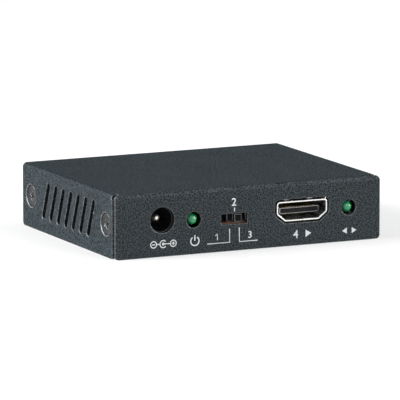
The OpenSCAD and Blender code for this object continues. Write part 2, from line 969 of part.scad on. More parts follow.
// Contact plate of the switch
module switch_base() {
    half = switch_w / 2 - switch_wall - press_gap;
    color(phenolic)
        at_front(switch_x)
            difference() {
                span([-half, switch_front - base_lip, 0], [half, switch_front + switch_d, base_t]);
                at_switch_pins() translate([0, 0, -cut]) block(pin_window());
            }
}
function pin_window() =
    [switch_pin_s + 2 * press_gap, switch_pin_s + 2 * press_gap, base_t + 2 * cut];

// Sliding knob, drawn in its right-hand position
module switch_knob() {
    back = switch_front + switch_wall;
    floor_z = base_t + slide_gap;
    color(black)
        at_front(switch_x)
            translate([step, 0, 0])
                difference() {
                    union() {
                        span([-carriage_w / 2, back + slide_gap, floor_z],
                            [carriage_w / 2, switch_front + switch_d - switch_wall - slide_gap,
                                base_t + frame_h - switch_wall - slide_gap]);
                        span([-knob_s / 2, knob_recess - sheet_t, switch_axis_h - knob_s / 2],
                            [knob_s / 2, back + 2 * slide_gap, switch_axis_h + knob_s / 2]);
                    }
                    translate([0, switch_pin_y, base_t])
                        block([clip_w + 2 * press_gap, clip_d + 2 * press_gap,
                            clip_t + slide_gap]);
                }
}

// Bridging clip carried under the knob
module switch_contact() {
    color(brass)
        at_front(switch_x)
            translate([step, switch_pin_y, base_t + slide_gap / 2])
                block([clip_w, clip_d, clip_t]);
}

// Pins of the switch, flush with the top of its base
module switch_terminals() {
    color(nickel)
        at_front(switch_x)
            at_switch_pins()
                translate([0, 0, -board_t - tail_len])
                    block([switch_pin_s, switch_pin_s, board_t + tail_len + base_t]);
}

// Shell of a video port with its legs, seam and spring fingers
module video_shell() {
    mouth = mouth_recess - sheet_t;
    top = port_axis_h + port_h / 2;
    finger_back = finger_start + finger_len + finger_slit;
    color(nickel) {
        difference() {
            translate([0, 0, port_axis_h])
                slab_y(mouth, shell_len)
                    difference() {
                        port_outline(shell_t);
                        port_outline(0);
                    }
            span([-seam_w / 2, mouth - cut, 0], [seam_w / 2, mouth + shell_len + cut, port_axis_h]);
            for (side = [-1, 1])
                translate([side * finger_x, 0, 0])
                    span([-finger_w / 2 - finger_slit, finger_start, top - cut],
                        [finger_w / 2 + finger_slit, finger_back, top + cut]);
        }
        for (side = [-1, 1])
            translate([side * finger_x, finger_back, top])
                rotate([-finger_dip, 0, 0])
                    translate([-finger_w / 2, -finger_len, 0])
                        cube([finger_w, finger_len + shell_t, shell_t]);
        at_shell_legs()
            translate([0, 0, -board_t - tail_len])
                block([shell_t, shell_leg_w, board_t + tail_len + port_axis_h]);
    }
}

// Places a video port's contacts: the first child ten times on top of the
// tongue, the second nine times under it
module at_contacts() {
    for (i = [0 : contact_count - 1])
        translate([(i - (contact_count - 1) / 2) * contact_pitch, 0, tongue_top()]) children(0);
    for (i = [0 : contact_count - 2])
        translate([(i - contact_count / 2 + 1) * contact_pitch, 0,
            tongue_top() - tongue_t - contact_t]) children(1);
}
function tongue_top() = port_axis_h - tongue_drop + tongue_t / 2;

// Plastic tongue of a video port and the block that holds it
module video_tongue() {
    front = mouth_recess - sheet_t + tongue_recess;
    back = mouth_recess - sheet_t + shell_len;
    color(dark_grey)
        difference() {
            union() {
                span([-tongue_w / 2, front, tongue_top() - tongue_t],
                    [tongue_w / 2, back, tongue_top()]);
                translate([0, 0, port_axis_h])
                    slab_y(back - block_len, block_len) port_outline(-slide_gap);
            }
            at_contacts() {
                translate([0, back, 0])
                    span([-contact_w / 2 - press_gap, -block_len - cut, 0],
                        [contact_w / 2 + press_gap, cut, contact_t + press_gap]);
                translate([0, back, 0])
                    span([-contact_w / 2 - press_gap, -block_len - cut, -press_gap],
                        [contact_w / 2 + press_gap, cut, contact_t]);
            }
        }
}

// Contacts of a video port, from the tongue to their feet on the board
module video_contacts() {
    front = mouth_recess - sheet_t + tongue_recess + contact_bare;
    back = mouth_recess - sheet_t + shell_len;
    color(brass)
        at_contacts() {
            contact(front, back, tongue_top());
            contact(front, back, tongue_top() - tongue_t - contact_t);
        }
}

// One contact whose blade lies at level z above the board
module contact(front, back, z) {
    w = contact_w / 2;
    span([-w, front, 0], [w, back + slide_gap + contact_t, contact_t]);
    span([-w, back + slide_gap, -z], [w, back + slide_gap + contact_t, contact_t]);
    span([-w, back + slide_gap, -z], [w, back + slide_gap + contact_pitch, contact_t - z]);
}
module video_out_shell() at_front(video_out_x) video_shell();
module video_out_tongue() at_front(video_out_x) video_tongue();
module video_out_contacts() at_front(video_out_x) video_contacts();
module video_in_shell() at_rear(video_in_x) video_shell();
module video_in_tongue() at_rear(video_in_x) video_tongue();
module video_in_contacts() at_rear(video_in_x) video_contacts();

// Places the line input's four contact blades
module at_blades() {
    for (i = [0 : len(blade_shares) - 1])
        translate([0, line_start + blade_shares[i] * line_len, line_axis_h])
            mirror([i % 2, 0, 0]) children();
}

// Body of the line input with its nose and bore
module line_jack_housing() {
    nose = nose_recess - sheet_t;
    side = blade_len / 2 + blade_gap;
    color(black)
        at_rear(line_x)
            difference() {
                union() {
                    span([-line_w / 2, line_start, 0], [line_w / 2, line_start + line_len, line_h]);
                    translate([0, nose, line_axis_h]) rod_y(nose_r, nose_back - nose);
                }
                translate([0, nose - cut, line_axis_h]) {
                    rod_y(plug_r, cut - nose + line_bore_len);
                    rod_y(ring_r + press_gap, cut + ring_len);
                }
                at_blades()
                    span([0, -side, -blade_h / 2 - blade_gap],
                        [line_w / 2 + cut, side, blade_h / 2 + blade_gap]);
            }
}

// Metal ring round the line input's bore
module line_jack_ring() {
    nose = nose_recess - sheet_t;
    color(nickel)
        at_rear(line_x)
            translate([0, nose, line_axis_h])
                difference() {
                    rod_y(ring_r, ring_len);
                    translate([0, -cut, 0]) rod_y(plug_r, ring_len + 2 * cut);
                }
}

// Contact blades of the line input
module line_jack_contacts() {
    x = plug_r + blade_gap;
    out = line_w / 2 + blade_gap;
    y = blade_len / 2;
    color(brass)
        at_rear(line_x)
            at_blades() {
                span([x, -y, -blade_h / 2], [x + blade_t, y, blade_h / 2]);
                span([x, -y, -blade_h / 2], [out + blade_t, y, -blade_h / 2 + blade_t]);
                span([out, -y, -line_axis_h], [out + blade_t, y, -blade_h / 2 + blade_t]);
                span([out, -y, -line_axis_h], [out + blade_len / 2, y, -line_axis_h + blade_t]);
            }
}

// Places the two pegs under the optical housing
module at_pegs() {
    for (side = [-1, 1])
        translate([side * (optical_w / 2 - peg_inset), peg_y, 0]) children();
}

// Housing of the optical input
module optical_housing() {
    front = optical_recess - sheet_t;
    back = optical_len;
    cavity_w = mouth_w + 2 * cavity_side;
    color(dark_grey)
        at_rear(optical_x)
            difference() {
                union() {
                    span([-optical_w / 2, front, 0], [optical_w / 2, back, optical_h]);
                    span([-optical_w / 2, front, -flange_drop],
                        [optical_w / 2, flange_back, optical_h]);
                    at_pegs() translate([0, 0, -peg_len]) cylinder(r = peg_r, h = peg_len + cut);
                }
                slab_y(front - cut, mouth_wall - front + 2 * cut) mouth_outline(0);
                span([-cavity_w / 2, mouth_wall, mouth_z],
                    [cavity_w / 2, cavity_len, mouth_z + mouth_h + cavity_top]);
                span([-pocket_w / 2, cavity_len + pocket_wall, -cut],
                    [pocket_w / 2, back + cut, optical_h - pocket_wall]);
                translate([0, 0, mouth_z + mouth_h / 2])
                    rod_y(lens_tube_r + lens_hole_gap, cavity_len + 2 * pocket_wall);
                translate([-optical_w / 2 + wire_r, hinge_y, hinge_z])
                    rotate([0, 90, 0])
                        cylinder(r = hinge_pin_r + press_gap, h = optical_w - 2 * wire_r);
            }
}

// Shutter that closes the optical mouth, hinged along its upper edge
module optical_shutter() {
    knuckle = mouth_w / 2 - 2 * flap_gap;
    color(dark_grey)
        at_rear(optical_x)
            difference() {
                union() {
                    intersection() {
                        slab_y(flap_front, 2 * knuckle_r) mouth_outline(-flap_gap);
                        span([-mouth_w, flap_front, 0], [mouth_w, 2 * knuckle_r, hinge_z]);
                    }
                    translate([-knuckle, hinge_y, hinge_z])
                        rotate([0, 90, 0]) cylinder(r = knuckle_r, h = 2 * knuckle);
                }
                translate([-mouth_w, hinge_y, hinge_z])
                    rotate([0, 90, 0]) cylinder(r = hinge_pin_r + hinge_fit, h = 2 * mouth_w);
                translate([-coil_room, hinge_y, hinge_z])
                    rotate([0, 90, 0]) cylinder(r = coil_clear_r, h = 2 * coil_room);
                span([-coil_room, hinge_y, hinge_z - coil_clear_r],
                    [coil_room, 2 * knuckle_r + cut, hinge_z + coil_clear_r]);
                span([arm_x - 2 * wire_r, hinge_y + coil_r - 2 * wire_r, hinge_z - arm_len - wire_r],
                    [arm_x + 2 * wire_r, 2 * knuckle_r + cut, hinge_z]);
                shutter_funnel();
            }
}

// Sloping faces on the front of the shutter, the recess between them and its slot
module shutter_funnel() {
    half = mouth_w / 2 - flap_gap;
    side_angle = atan(funnel_depth / (half - funnel_half));
    top_angle = atan(funnel_depth / funnel_top);
    recess_top = hinge_z - funnel_top;
    intersection() {
        funnel_side(half, side_angle);
        mirror([1, 0, 0]) funnel_side(half, side_angle);
        translate([-half, flap_front, hinge_z])
            rotate([top_angle, 0, 0])
                span([0, -2 * knuckle_r, -2 * mouth_h], [2 * half, 0, 0]);
    }
    span([-funnel_half, flap_front - cut, 0], [funnel_half, flap_front + funnel_floor, recess_top]);
    span([-slot_half, flap_front, recess_top - slot_drop - slot_rise],
        [slot_half, flap_front + funnel_floor + slot_depth, recess_top - slot_drop]);
}
module funnel_side(half, angle) {
    translate([-half, flap_front, 0])
        rotate([0, 0, angle])
            span([0, -2 * knuckle_r, -mouth_h], [2 * mouth_w, 0, 2 * mouth_h]);
}

// Steel pin that the shutter turns on
module optical_hinge_pin() {
    length = optical_w - 4 * wire_r;
    color(steel)
        at_rear(optical_x)
            translate([-length / 2, hinge_y, hinge_z])
                rotate([0, 90, 0]) cylinder(r = hinge_pin_r, h = length);
}

// Return spring wound on the hinge pin, its last turn running on as the arm
// that pushes the shutter
module optical_spring() {
    pitch = (2 * coil_room - 6 * wire_r) / coil_turns;
    coil = [
        for (i = [0 : coil_steps * coil_turns])
            let (a = 90 + 360 * i / coil_steps)
            [pitch * i / coil_steps - coil_room + 3 * wire_r, coil_r * sin(a), coil_r * cos(a)]
    ];
    color(steel)
        at_rear(optical_x)
            translate([0, hinge_y, hinge_z])
                tube(concat(coil, [[arm_x, coil_r, -arm_len]]), wire_r, wire_sides);
}

// Tube swept along a path whose steps all lie across X
module tube(path, r, sides) {
    rings = [
        for (i = [0 : len(path) - 1])
            let (
                ahead = path[min(i + 1, len(path) - 1)] - path[max(i - 1, 0)],
                t = unit(ahead),
                n = unit(cross([1, 0, 0], t)),
                b = cross(t, n)
            )
            for (k = [0 : sides - 1])
                path[i] + r * (cos(360 * k / sides) * n + sin(360 * k / sides) * b)
    ];
    last = len(path) - 1;
    walls = [
        for (i = [0 : last - 1], k = [0 : sides - 1])
            [(i + 1) * sides + k, (i + 1) * sides + (k + 1) % sides,
                i * sides + (k + 1) % sides, i * sides + k]
    ];
    caps = [[for (k = [0 : sides - 1]) k], [for (k = [sides - 1 : -1 : 0]) last * sides + k]];
    polyhedron(points = rings, faces = concat(walls, caps));
}

// Light receiver behind the optical port
module optical_receiver() {
    y = cavity_len + pocket_wall + receiver_gap;
    color(black)
        at_rear(optical_x) {
            span([-pocket_w / 2 + receiver_gap, y, receiver_gap],
                [pocket_w / 2 - receiver_gap, y + receiver_d, optical_h - 2 * pocket_wall]);
            translate([0, cavity_len, mouth_z + mouth_h / 2])
                rod_y(lens_tube_r, y + receiver_d / 2 - cavity_len);
        }
}

// Leads of the light receiver, down through the board
module optical_leads() {
    color(nickel)
        at_rear(optical_x)
            at_optical_leads()
                translate([0, 0, -board_t - tail_len])
                    block([lead_s, lead_s, board_t + tail_len + receiver_gap]);
}

// One row of bent pins along X, facing +Y from a body's edge
module pin_row(count, pitch, body_d, body_h) {
    w = pitch * fin_share;
    for (i = [0 : count - 1])
        translate([(i - (count - 1) / 2) * pitch, body_d / 2, 0]) {
            span([-w / 2, -pin_t, body_h / 2], [w / 2, pin_reach / 2, body_h / 2 + pin_t]);
            span([-w / 2, pin_reach / 2 - pin_t, 0], [w / 2, pin_reach / 2, body_h / 2 + pin_t]);
            span([-w / 2, pin_reach / 2 - pin_t, 0], [w / 2, pin_reach, pin_t]);
        }
}

// Square chip with pins on all four sides
module square_chip(s, h, pins, pitch) {
    translate([0, 0, chip_lift]) block([s, s, h]);
    for (turn = [0 : 90 : 270]) rotate([0, 0, turn]) pin_row(pins, pitch, s, h);
}

// Chip with pins on its two long sides
module row_chip(size, pins, pitch) {
    translate([0, 0, chip_lift]) block(size);
    for (turn = [0, 180]) rotate([0, 0, turn]) pin_row(pins, pitch, size.y, size.z);
}

// Main processor that puts the sound into the video signal
module embedder_chip() {
    color(black)
        at_board(embedder_share)
            square_chip(embedder_s, embedder_h, embedder_pin_count, embedder_pitch);
}

// Adhesive heat pad between the processor and its heat sink
module thermal_tape() {
    color(bare_alloy)
        at_board(embedder_share)
            translate([0, 0, chip_lift + embedder_h]) block([embedder_s, embedder_s, tape_t]);
}

// Finned heat sink on the processor
module heat_sink() {
    pitch = embedder_s / (fin_count - 1 + fin_share);
    fin = pitch * fin_share;
    color(bare_alloy)
        at_board(embedder_share)
            translate([0, 0, chip_lift + embedder_h + tape_t]) {
                block([embedder_s, embedder_s, sink_base]);
                for (i = [0 : fin_count - 1])
                    translate([(i - (fin_count - 1) / 2) * pitch, 0, 0])
                        block([fin, embedder_s, sink_h]);
            }
}

// Microcontroller that reads the switch
module controller_chip() {
    color(black)
        at_board(controller_share)
            square_chip(controller_s, controller_h, controller_pin_count, controller_pitch);
}

// Sound converter for the line input
module audio_chip() {
    color(black) at_board(audio_share) row_chip(audio_size, audio_pin_count, audio_pitch);
}

// Memory for the controller's settings
module memory_chip() {
    color(black) at_board(memory_share) row_chip(memory_size, memory_pin_count, memory_pitch);
}

// Crystal in its rounded can
module crystal_can() {
    r = crystal_size.y / 2;
    color(nickel)
        at_board(crystal_share) {
            block([crystal_size.x - 2 * r, 2 * r, crystal_size.z]);
            for (side = [-1, 1])
                translate([side * (crystal_size.x / 2 - r), 0, 0]) cylinder(r = r, h = crystal_size.z);
        }
}

// Two voltage regulators
module regulators() {
    color(black)
        for (share = regulator_shares)
            at_board(share) {
                translate([0, 0, chip_lift]) block(regulator_size);
                for (i = [-1 : 1])
                    translate([i * regulator_pitch, -regulator_size.y / 2 - pin_reach / 2, 0])
                        block([regulator_foot_w, pin_reach + cut, chip_lift + pin_t]);
                translate([0, regulator_size.y / 2 + pin_reach / 2, 0])
                    block([regulator_size.x / 2, pin_reach + cut, chip_lift + pin_t]);
            }
}

// Shielded coils of the voltage converters
module power_inductors() {
    color(ferrite)
        for (share = inductor_shares)
            at_board(share) {
                block(inductor_size);
                translate([0, 0, inductor_size.z]) cylinder(r = inductor_cap_r, h = inductor_cap_h);
            }
}

// Resettable fuse behind the power inlet
module input_fuse() {
    color(sand) at_board(fuse_share) block(fuse_size);
}

// Diode behind the power inlet
module input_diode() {
    color(black)
        at_board(diode_share) {
            translate([0, 0, chip_lift]) block(diode_size);
            for (side = [-1, 1])
                translate([side * diode_size.x / 2, 0, 0])
                    block([2 * diode_foot_len, diode_size.y / 2, chip_lift + pin_t]);
        }
}

// Round capacitors on their square bases
module electrolytic_capacitors() {
    color(bare_alloy)
        for (share = can_shares)
            at_board(share) {
                block([can_base, can_base, can_base_h]);
                cylinder(r = can_r, h = can_h);
            }
}

// Small ceramic capacitors
module ceramic_capacitors() {
    color(sand) for (share = ceramic_shares) at_board(share) block(chip_part_size);
}

// Chip resistors
module chip_resistors() {
    color(black) for (share = resistor_shares) at_board(share) block(resistor_size);
}

// Surge protectors beside the video ports
module surge_arrays() {
    color(black) for (share = surge_shares) at_board(share) block(surge_size);
}

top_cover();
base_tray();
cover_screws();
press_nuts();
board_spacers();
board_screws();
circuit_board();
dc_jack_housing();
dc_jack_pin();
dc_jack_spring();
power_light_lens();
power_light_leads();
power_light_holder();
link_light_lens();
link_light_leads();
link_light_holder();
switch_frame();
switch_base();
switch_knob();
switch_contact();
switch_terminals();
video_out_shell();
video_out_tongue();
video_out_contacts();
video_in_shell();
video_in_tongue();
video_in_contacts();
line_jack_housing();
line_jack_ring();
line_jack_contacts();
optical_housing();
optical_shutter();
optical_hinge_pin();
optical_spring();
optical_receiver();
optical_leads();
embedder_chip();
thermal_tape();
heat_sink();
controller_chip();
audio_chip();
memory_chip();
crystal_can();
regulators();
power_inductors();
input_fuse();
input_diode();
electrolytic_capacitors();
ceramic_capacitors();
chip_resistors();
surge_arrays();
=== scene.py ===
import math
import bpy
from mathutils import Matrix, Vector


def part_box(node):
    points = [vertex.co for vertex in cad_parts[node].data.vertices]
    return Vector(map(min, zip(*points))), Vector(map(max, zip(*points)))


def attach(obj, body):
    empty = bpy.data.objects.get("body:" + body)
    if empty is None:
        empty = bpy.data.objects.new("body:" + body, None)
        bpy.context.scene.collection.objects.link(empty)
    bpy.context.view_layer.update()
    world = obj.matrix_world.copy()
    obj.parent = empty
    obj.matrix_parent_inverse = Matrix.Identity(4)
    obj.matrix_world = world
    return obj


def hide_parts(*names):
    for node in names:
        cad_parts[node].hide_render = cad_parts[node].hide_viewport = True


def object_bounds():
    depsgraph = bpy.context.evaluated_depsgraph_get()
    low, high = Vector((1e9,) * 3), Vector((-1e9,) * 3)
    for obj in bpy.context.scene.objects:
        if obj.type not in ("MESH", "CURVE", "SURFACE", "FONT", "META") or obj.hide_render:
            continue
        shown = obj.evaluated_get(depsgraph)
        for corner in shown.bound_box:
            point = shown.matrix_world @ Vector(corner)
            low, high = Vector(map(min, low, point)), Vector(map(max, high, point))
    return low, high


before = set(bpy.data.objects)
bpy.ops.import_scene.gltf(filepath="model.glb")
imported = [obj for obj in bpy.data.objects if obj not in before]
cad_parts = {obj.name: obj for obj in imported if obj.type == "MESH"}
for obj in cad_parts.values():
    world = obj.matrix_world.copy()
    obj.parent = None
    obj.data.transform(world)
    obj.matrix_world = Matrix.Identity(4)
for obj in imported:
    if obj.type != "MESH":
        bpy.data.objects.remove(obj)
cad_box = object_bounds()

# View
# The camera stands left of the front and a little above, far away with a
# long lens. The pale floor keeps the shadow and shows plain white behind.
MM = 0.001
MIDDLE = Vector((0, 0, 8.5)) * MM
CAMERA_PLACE = Vector((-576.9, -1217.1, 239.7)) * MM
SENSOR, LENS = 36, 461
NEAREST, FARTHEST = 0.01, 50
ROOM_TINT, ROOM_LEVEL = (0.93, 0.96, 1.0), 0.18
PAPER_GREY, PAPER_GLOW = (0.56, 0.56, 0.56), 0.45
FLOOR_SIZE, FLOOR_DROP = 8, 0.02 * MM
PURE_WHITE = (1.0, 1.0, 1.0)

scene = bpy.context.scene
scene.view_settings.view_transform = "Standard"


def look(place, aim):
    """The turn that points a camera or a lamp from a place at an aim."""
    return (aim - place).to_track_quat("-Z", "Y").to_euler()


bpy.ops.object.camera_add(location=CAMERA_PLACE, rotation=look(CAMERA_PLACE, MIDDLE))
camera = bpy.context.object
camera.name = "camera"
camera.data.sensor_width = SENSOR
camera.data.lens = LENS
camera.data.clip_start = NEAREST
camera.data.clip_end = FARTHEST
scene.camera = camera


def feed(tree, socket, value):
    """Sets a socket to a number or a colour, or links it to another socket."""
    if isinstance(value, tuple):
        socket.default_value = (*value, 1)
    elif isinstance(value, (int, float)):
        socket.default_value = value
    else:
        tree.links.new(value, socket)


def calc(tree, operation, a, b):
    """One step of arithmetic."""
    n = tree.nodes.new("ShaderNodeMath")
    n.operation = operation
    feed(tree, n.inputs[0], a)
    feed(tree, n.inputs[1], b)
    return n.outputs[0]


def seen_rays(tree):
    """1 where a ray shows the background: straight, in a gloss or through glass."""
    rays = tree.nodes.new("ShaderNodeLightPath")
    seen = rays.outputs["Is Camera Ray"]
    for kind in ("Is Glossy Ray", "Is Transmission Ray"):
        seen = calc(tree, "MAXIMUM", seen, rays.outputs[kind])
    return seen


def background(tree, tint, level):
    """An even light from all round."""
    n = tree.nodes.new("ShaderNodeBackground")
    feed(tree, n.inputs["Color"], tint)
    feed(tree, n.inputs["Strength"], level)
    return n.outputs[0]


world = bpy.data.worlds.new("studio")
scene.world = world
world.use_nodes = True
room = world.node_tree
room.nodes.clear()
out = room.nodes.new("ShaderNodeOutputWorld")
mix = room.nodes.new("ShaderNodeMixShader")
room.links.new(seen_rays(room), mix.inputs[0])
room.links.new(background(room, ROOM_TINT, ROOM_LEVEL), mix.inputs[1])
room.links.new(background(room, PURE_WHITE, 1.0), mix.inputs[2])
room.links.new(mix.outputs[0], out.inputs["Surface"])


def softbox(name, place, size, power):
    """A square soft light that looks at the middle of the object."""
    bpy.ops.object.light_add(type="AREA", location=place, rotation=look(Vector(place), MIDDLE))
    lamp = bpy.context.object
    lamp.name = name
    lamp.data.shape = "SQUARE"
    lamp.data.size = size
    lamp.data.energy = power


softbox("left_softbox", (-0.93, 0.25, 0.3), size=0.8, power=24)
softbox("right_softbox", (0.93, -0.25, 0.3), size=0.7, power=12)
softbox("top_softbox", (0.3, -0.12, 1.0), size=0.5, power=0.6)
softbox("front_edge_light", (0.3, -1.15, 0.56), size=0.26, power=4.4)
softbox("rear_edge_light", (-0.22, 1.16, 0.56), size=0.26, power=1.0)

bpy.ops.mesh.primitive_plane_add(size=FLOOR_SIZE, location=(0, 0, -FLOOR_DROP))
floor = bpy.context.object
floor.name = "floor"
paper = bpy.data.materials.new("floor_paper")
paper.use_nodes = True
sheet = paper.node_tree.nodes["Principled BSDF"]
for label, value in (("Base Color", PAPER_GREY), ("Roughness", 0.9), ("Specular IOR Level", 0.1),
                     ("Emission Color", PURE_WHITE)):
    feed(paper.node_tree, sheet.inputs[label], value)
glow = calc(paper.node_tree, "MULTIPLY", seen_rays(paper.node_tree), PAPER_GLOW)
paper.node_tree.links.new(glow, sheet.inputs["Emission Strength"])
floor.data.materials.append(paper)


# Base tray
# Floor and rear panel bent from one steel sheet, with four ears for the
# cover's screws. Fine-textured charcoal powder coat, baked on after bending.
def new_group(name, inputs, outputs):
    """An empty node group with its named sockets."""
    group = bpy.data.node_groups.new(name, "ShaderNodeTree")
    kinds = {"vector": "NodeSocketVector", "colour": "NodeSocketColor", "value": "NodeSocketFloat"}
    for way, sockets in (("INPUT", inputs), ("OUTPUT", outputs)):
        for label, kind in sockets.items():
            group.interface.new_socket(name=label, in_out=way, socket_type=kinds[kind])
    return group, group.nodes.new("NodeGroupInput").outputs, group.nodes.new("NodeGroupOutput").inputs


def noise(tree, place, scale, detail=3.0, roughness=0.55):
    """Noise texture read at a place; returns its grey value."""
    n = tree.nodes.new("ShaderNodeTexNoise")
    feed(tree, n.inputs["Scale"], scale)
    feed(tree, n.inputs["Detail"], detail)
    feed(tree, n.inputs["Roughness"], roughness)
    tree.links.new(place, n.inputs["Vector"])
    return n.outputs["Fac"]


def cells(tree, place, scale, randomness=1.0):
    """Random cells; returns the texture's outputs."""
    n = tree.nodes.new("ShaderNodeTexVoronoi")
    n.inputs["Scale"].default_value = scale
    n.inputs["Randomness"].default_value = randomness
    tree.links.new(place, n.inputs["Vector"])
    return n.outputs


def spread(tree, value, source, target):
    """Maps one range of values onto another, clamped."""
    n = tree.nodes.new("ShaderNodeMapRange")
    tree.links.new(value, n.inputs["Value"])
    for label, v in zip(("From Min", "From Max", "To Min", "To Max"), (*source, *target)):
        feed(tree, n.inputs[label], v)
    return n.outputs["Result"]


def mixed(tree, mask, first, second):
    """The first colour where the mask is 0, the second where it is 1."""
    n = tree.nodes.new("ShaderNodeMix")
    n.data_type = "RGBA"
    tree.links.new(mask, n.inputs["Factor"])
    feed(tree, n.inputs[6], first)
    feed(tree, n.inputs[7], second)
    return n.outputs[2]


def shaded(tree, colour, factor):
    """A colour made lighter or darker by a factor."""
    n = tree.nodes.new("ShaderNodeVectorMath")
    n.operation = "SCALE"
    tree.links.new(colour, n.inputs[0])
    tree.links.new(factor, n.inputs["Scale"])
    return n.outputs[0]


# The part of the grain's values that its tones spread over.
GRAIN = (0.43, 0.57)
COAT_ROUGHNESS = (0.36, 0.52)
FINISH = {"Colour": "colour", "Roughness": "value", "Height": "value"}


def powder_coat_group():
    """Fine orange peel with pale flecks and a faint cloudiness."""
    group, given, made = new_group(
        "powder_coat", {"Place": "vector", "Colour": "colour", "Fleck": "colour"}, FINISH)
    place = given["Place"]
    peel = noise(group, place, scale=2300, detail=2.0, roughness=0.5)
    grit = noise(group, place, scale=4600, detail=2.0, roughness=0.6)
    cloud = noise(group, place, scale=90, detail=3.0, roughness=0.5)
    tone = calc(group, "ADD", calc(group, "MULTIPLY", peel, 0.55), calc(group, "MULTIPLY", grit, 0.45))
    base = shaded(group, given["Colour"], spread(group, tone, GRAIN, (0.2, 1.9)))
    base = shaded(group, base, spread(group, cloud, (0.35, 0.65), (0.94, 1.06)))
    flecks = cells(group, place, scale=2300)["Distance"]
    some = calc(group, "GREATER_THAN", noise(group, place, scale=3300, detail=1.0), 0.56)
    dots = calc(group, "MULTIPLY", spread(group, flecks, (0.1, 0.26), (1, 0)), some)
    colour = mixed(group, calc(group, "MULTIPLY", dots, 0.5), base, given["Fleck"])
    group.links.new(colour, made["Colour"])
    group.links.new(spread(group, grit, (0.3, 0.7), COAT_ROUGHNESS), made["Roughness"])
    group.links.new(tone, made["Height"])
    return group


def new_material(name, metallic=0.0, specular=0.5):
    """A Principled material, with its tree and its place on the object."""
    material = bpy.data.materials.new(name)
    material.use_nodes = True
    tree = material.node_tree
    shader = tree.nodes["Principled BSDF"]
    shader.inputs["Metallic"].default_value = metallic
    shader.inputs["Specular IOR Level"].default_value = specular
    place = tree.nodes.new("ShaderNodeTexCoord").outputs["Object"]
    return material, tree, shader, place


def use(tree, group, **values):
    """Places a node group, feeds its inputs and returns its outputs."""
    n = tree.nodes.new("ShaderNodeGroup")
    n.node_tree = group
    for label, v in values.items():
        feed(tree, n.inputs[label], v)
    return n.outputs


def coloured(tree, shader, colour, roughness):
    """Feeds a colour and a roughness to the shader."""
    tree.links.new(colour, shader.inputs["Base Color"])
    tree.links.new(roughness, shader.inputs["Roughness"])


def bumped(tree, shader, height, strength, distance):
    """Feeds a height to the shader's normal."""
    n = tree.nodes.new("ShaderNodeBump")
    n.inputs["Strength"].default_value = strength
    n.inputs["Distance"].default_value = distance
    tree.links.new(height, n.inputs["Height"])
    tree.links.new(n.outputs["Normal"], shader.inputs["Normal"])


powder_coat = powder_coat_group()


def coat_material():
    """The coat on a flat: its gloss follows the grain and fades at a slant."""
    material, tree, shader, place = new_material("charcoal_coat")
    coat = use(tree, powder_coat, Place=place, Colour=(0.0185, 0.0260, 0.0300), Fleck=(0.16, 0.18, 0.19))
    slant = tree.nodes.new("ShaderNodeLayerWeight").outputs["Facing"]
    gloss = spread(tree, slant, (0.3, 0.68), (0.2, 0.003))
    grain = spread(tree, coat["Height"], GRAIN, (0.5, 1.5))
    tree.links.new(calc(tree, "MULTIPLY", gloss, grain), shader.inputs["Specular IOR Level"])
    coloured(tree, shader, coat["Colour"], coat["Roughness"])
    bumped(tree, shader, coat["Height"], strength=0.9, distance=0.2 * MM)
    return material


def rim_material():
    """The coat over an edge: thinner and smoother, with a lighter colour that is a painted highlight."""
    material, tree, shader, place = new_material("coat_rim_and_highlight")
    coat = use(tree, powder_coat, Place=place, Colour=(0.07, 0.073, 0.078), Fleck=(0.14, 0.15, 0.16))
    slant = tree.nodes.new("ShaderNodeLayerWeight").outputs["Facing"]
    tree.links.new(spread(tree, slant, (0.5, 0.85), (0.7, 0.1)), shader.inputs["Specular IOR Level"])
    coloured(tree, shader, coat["Colour"], spread(tree, coat["Roughness"], COAT_ROUGHNESS, (0.2, 0.3)))
    return material


def only(piece):
    """Selects one piece and nothing else."""
    bpy.ops.object.select_all(action="DESELECT")
    piece.select_set(True)
    bpy.context.view_layer.objects.active = piece


def dress(node, *materials):
    """Gives a CAD node its materials."""
    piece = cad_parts[node]
    piece.data.materials.clear()
    for material in materials:
        piece.data.materials.append(material)
    return piece


# Points closer than this are one. Faces that meet at less than the first
# angle are one face, and edges sharper than the second are rounded.
ONE_POINT = 0.002 * MM
FLAT_ANGLE, SHARP_ANGLE = math.radians(0.4), math.radians(32)
OWN, RIM = -1, 1


def soften(piece, width, segments=2, rim=OWN):
    """Rounds the sharp edges of a piece that comes as loose triangles. The
    rounding takes the material number given as rim, or its neighbour's."""
    only(piece)
    bpy.ops.object.shade_smooth()
    weld = piece.modifiers.new("weld", "WELD")
    weld.merge_threshold = ONE_POINT
    flat = piece.modifiers.new("flat", "DECIMATE")
    flat.decimate_type = "DISSOLVE"
    flat.angle_limit = FLAT_ANGLE
    flat.delimit = {"MATERIAL"}
    bevel = piece.modifiers.new("edges", "BEVEL")
    bevel.width = width
    bevel.segments = segments
    bevel.limit_method = "ANGLE"
    bevel.angle_limit = SHARP_ANGLE
    bevel.use_clamp_overlap = False
    bevel.loop_slide = False
    bevel.miter_outer = "MITER_ARC"
    bevel.material = rim
    normals = piece.modifiers.new("normals", "WEIGHTED_NORMAL")
    normals.weight = 60


charcoal_coat = coat_material()
# Edge rounding takes the rim coat: real gloss, plus a painted highlight in its lighter colour.
coat_rim_and_highlight = rim_material()
soften(dress("base_tray", charcoal_coat, coat_rim_and_highlight), width=0.1 * MM, rim=RIM)


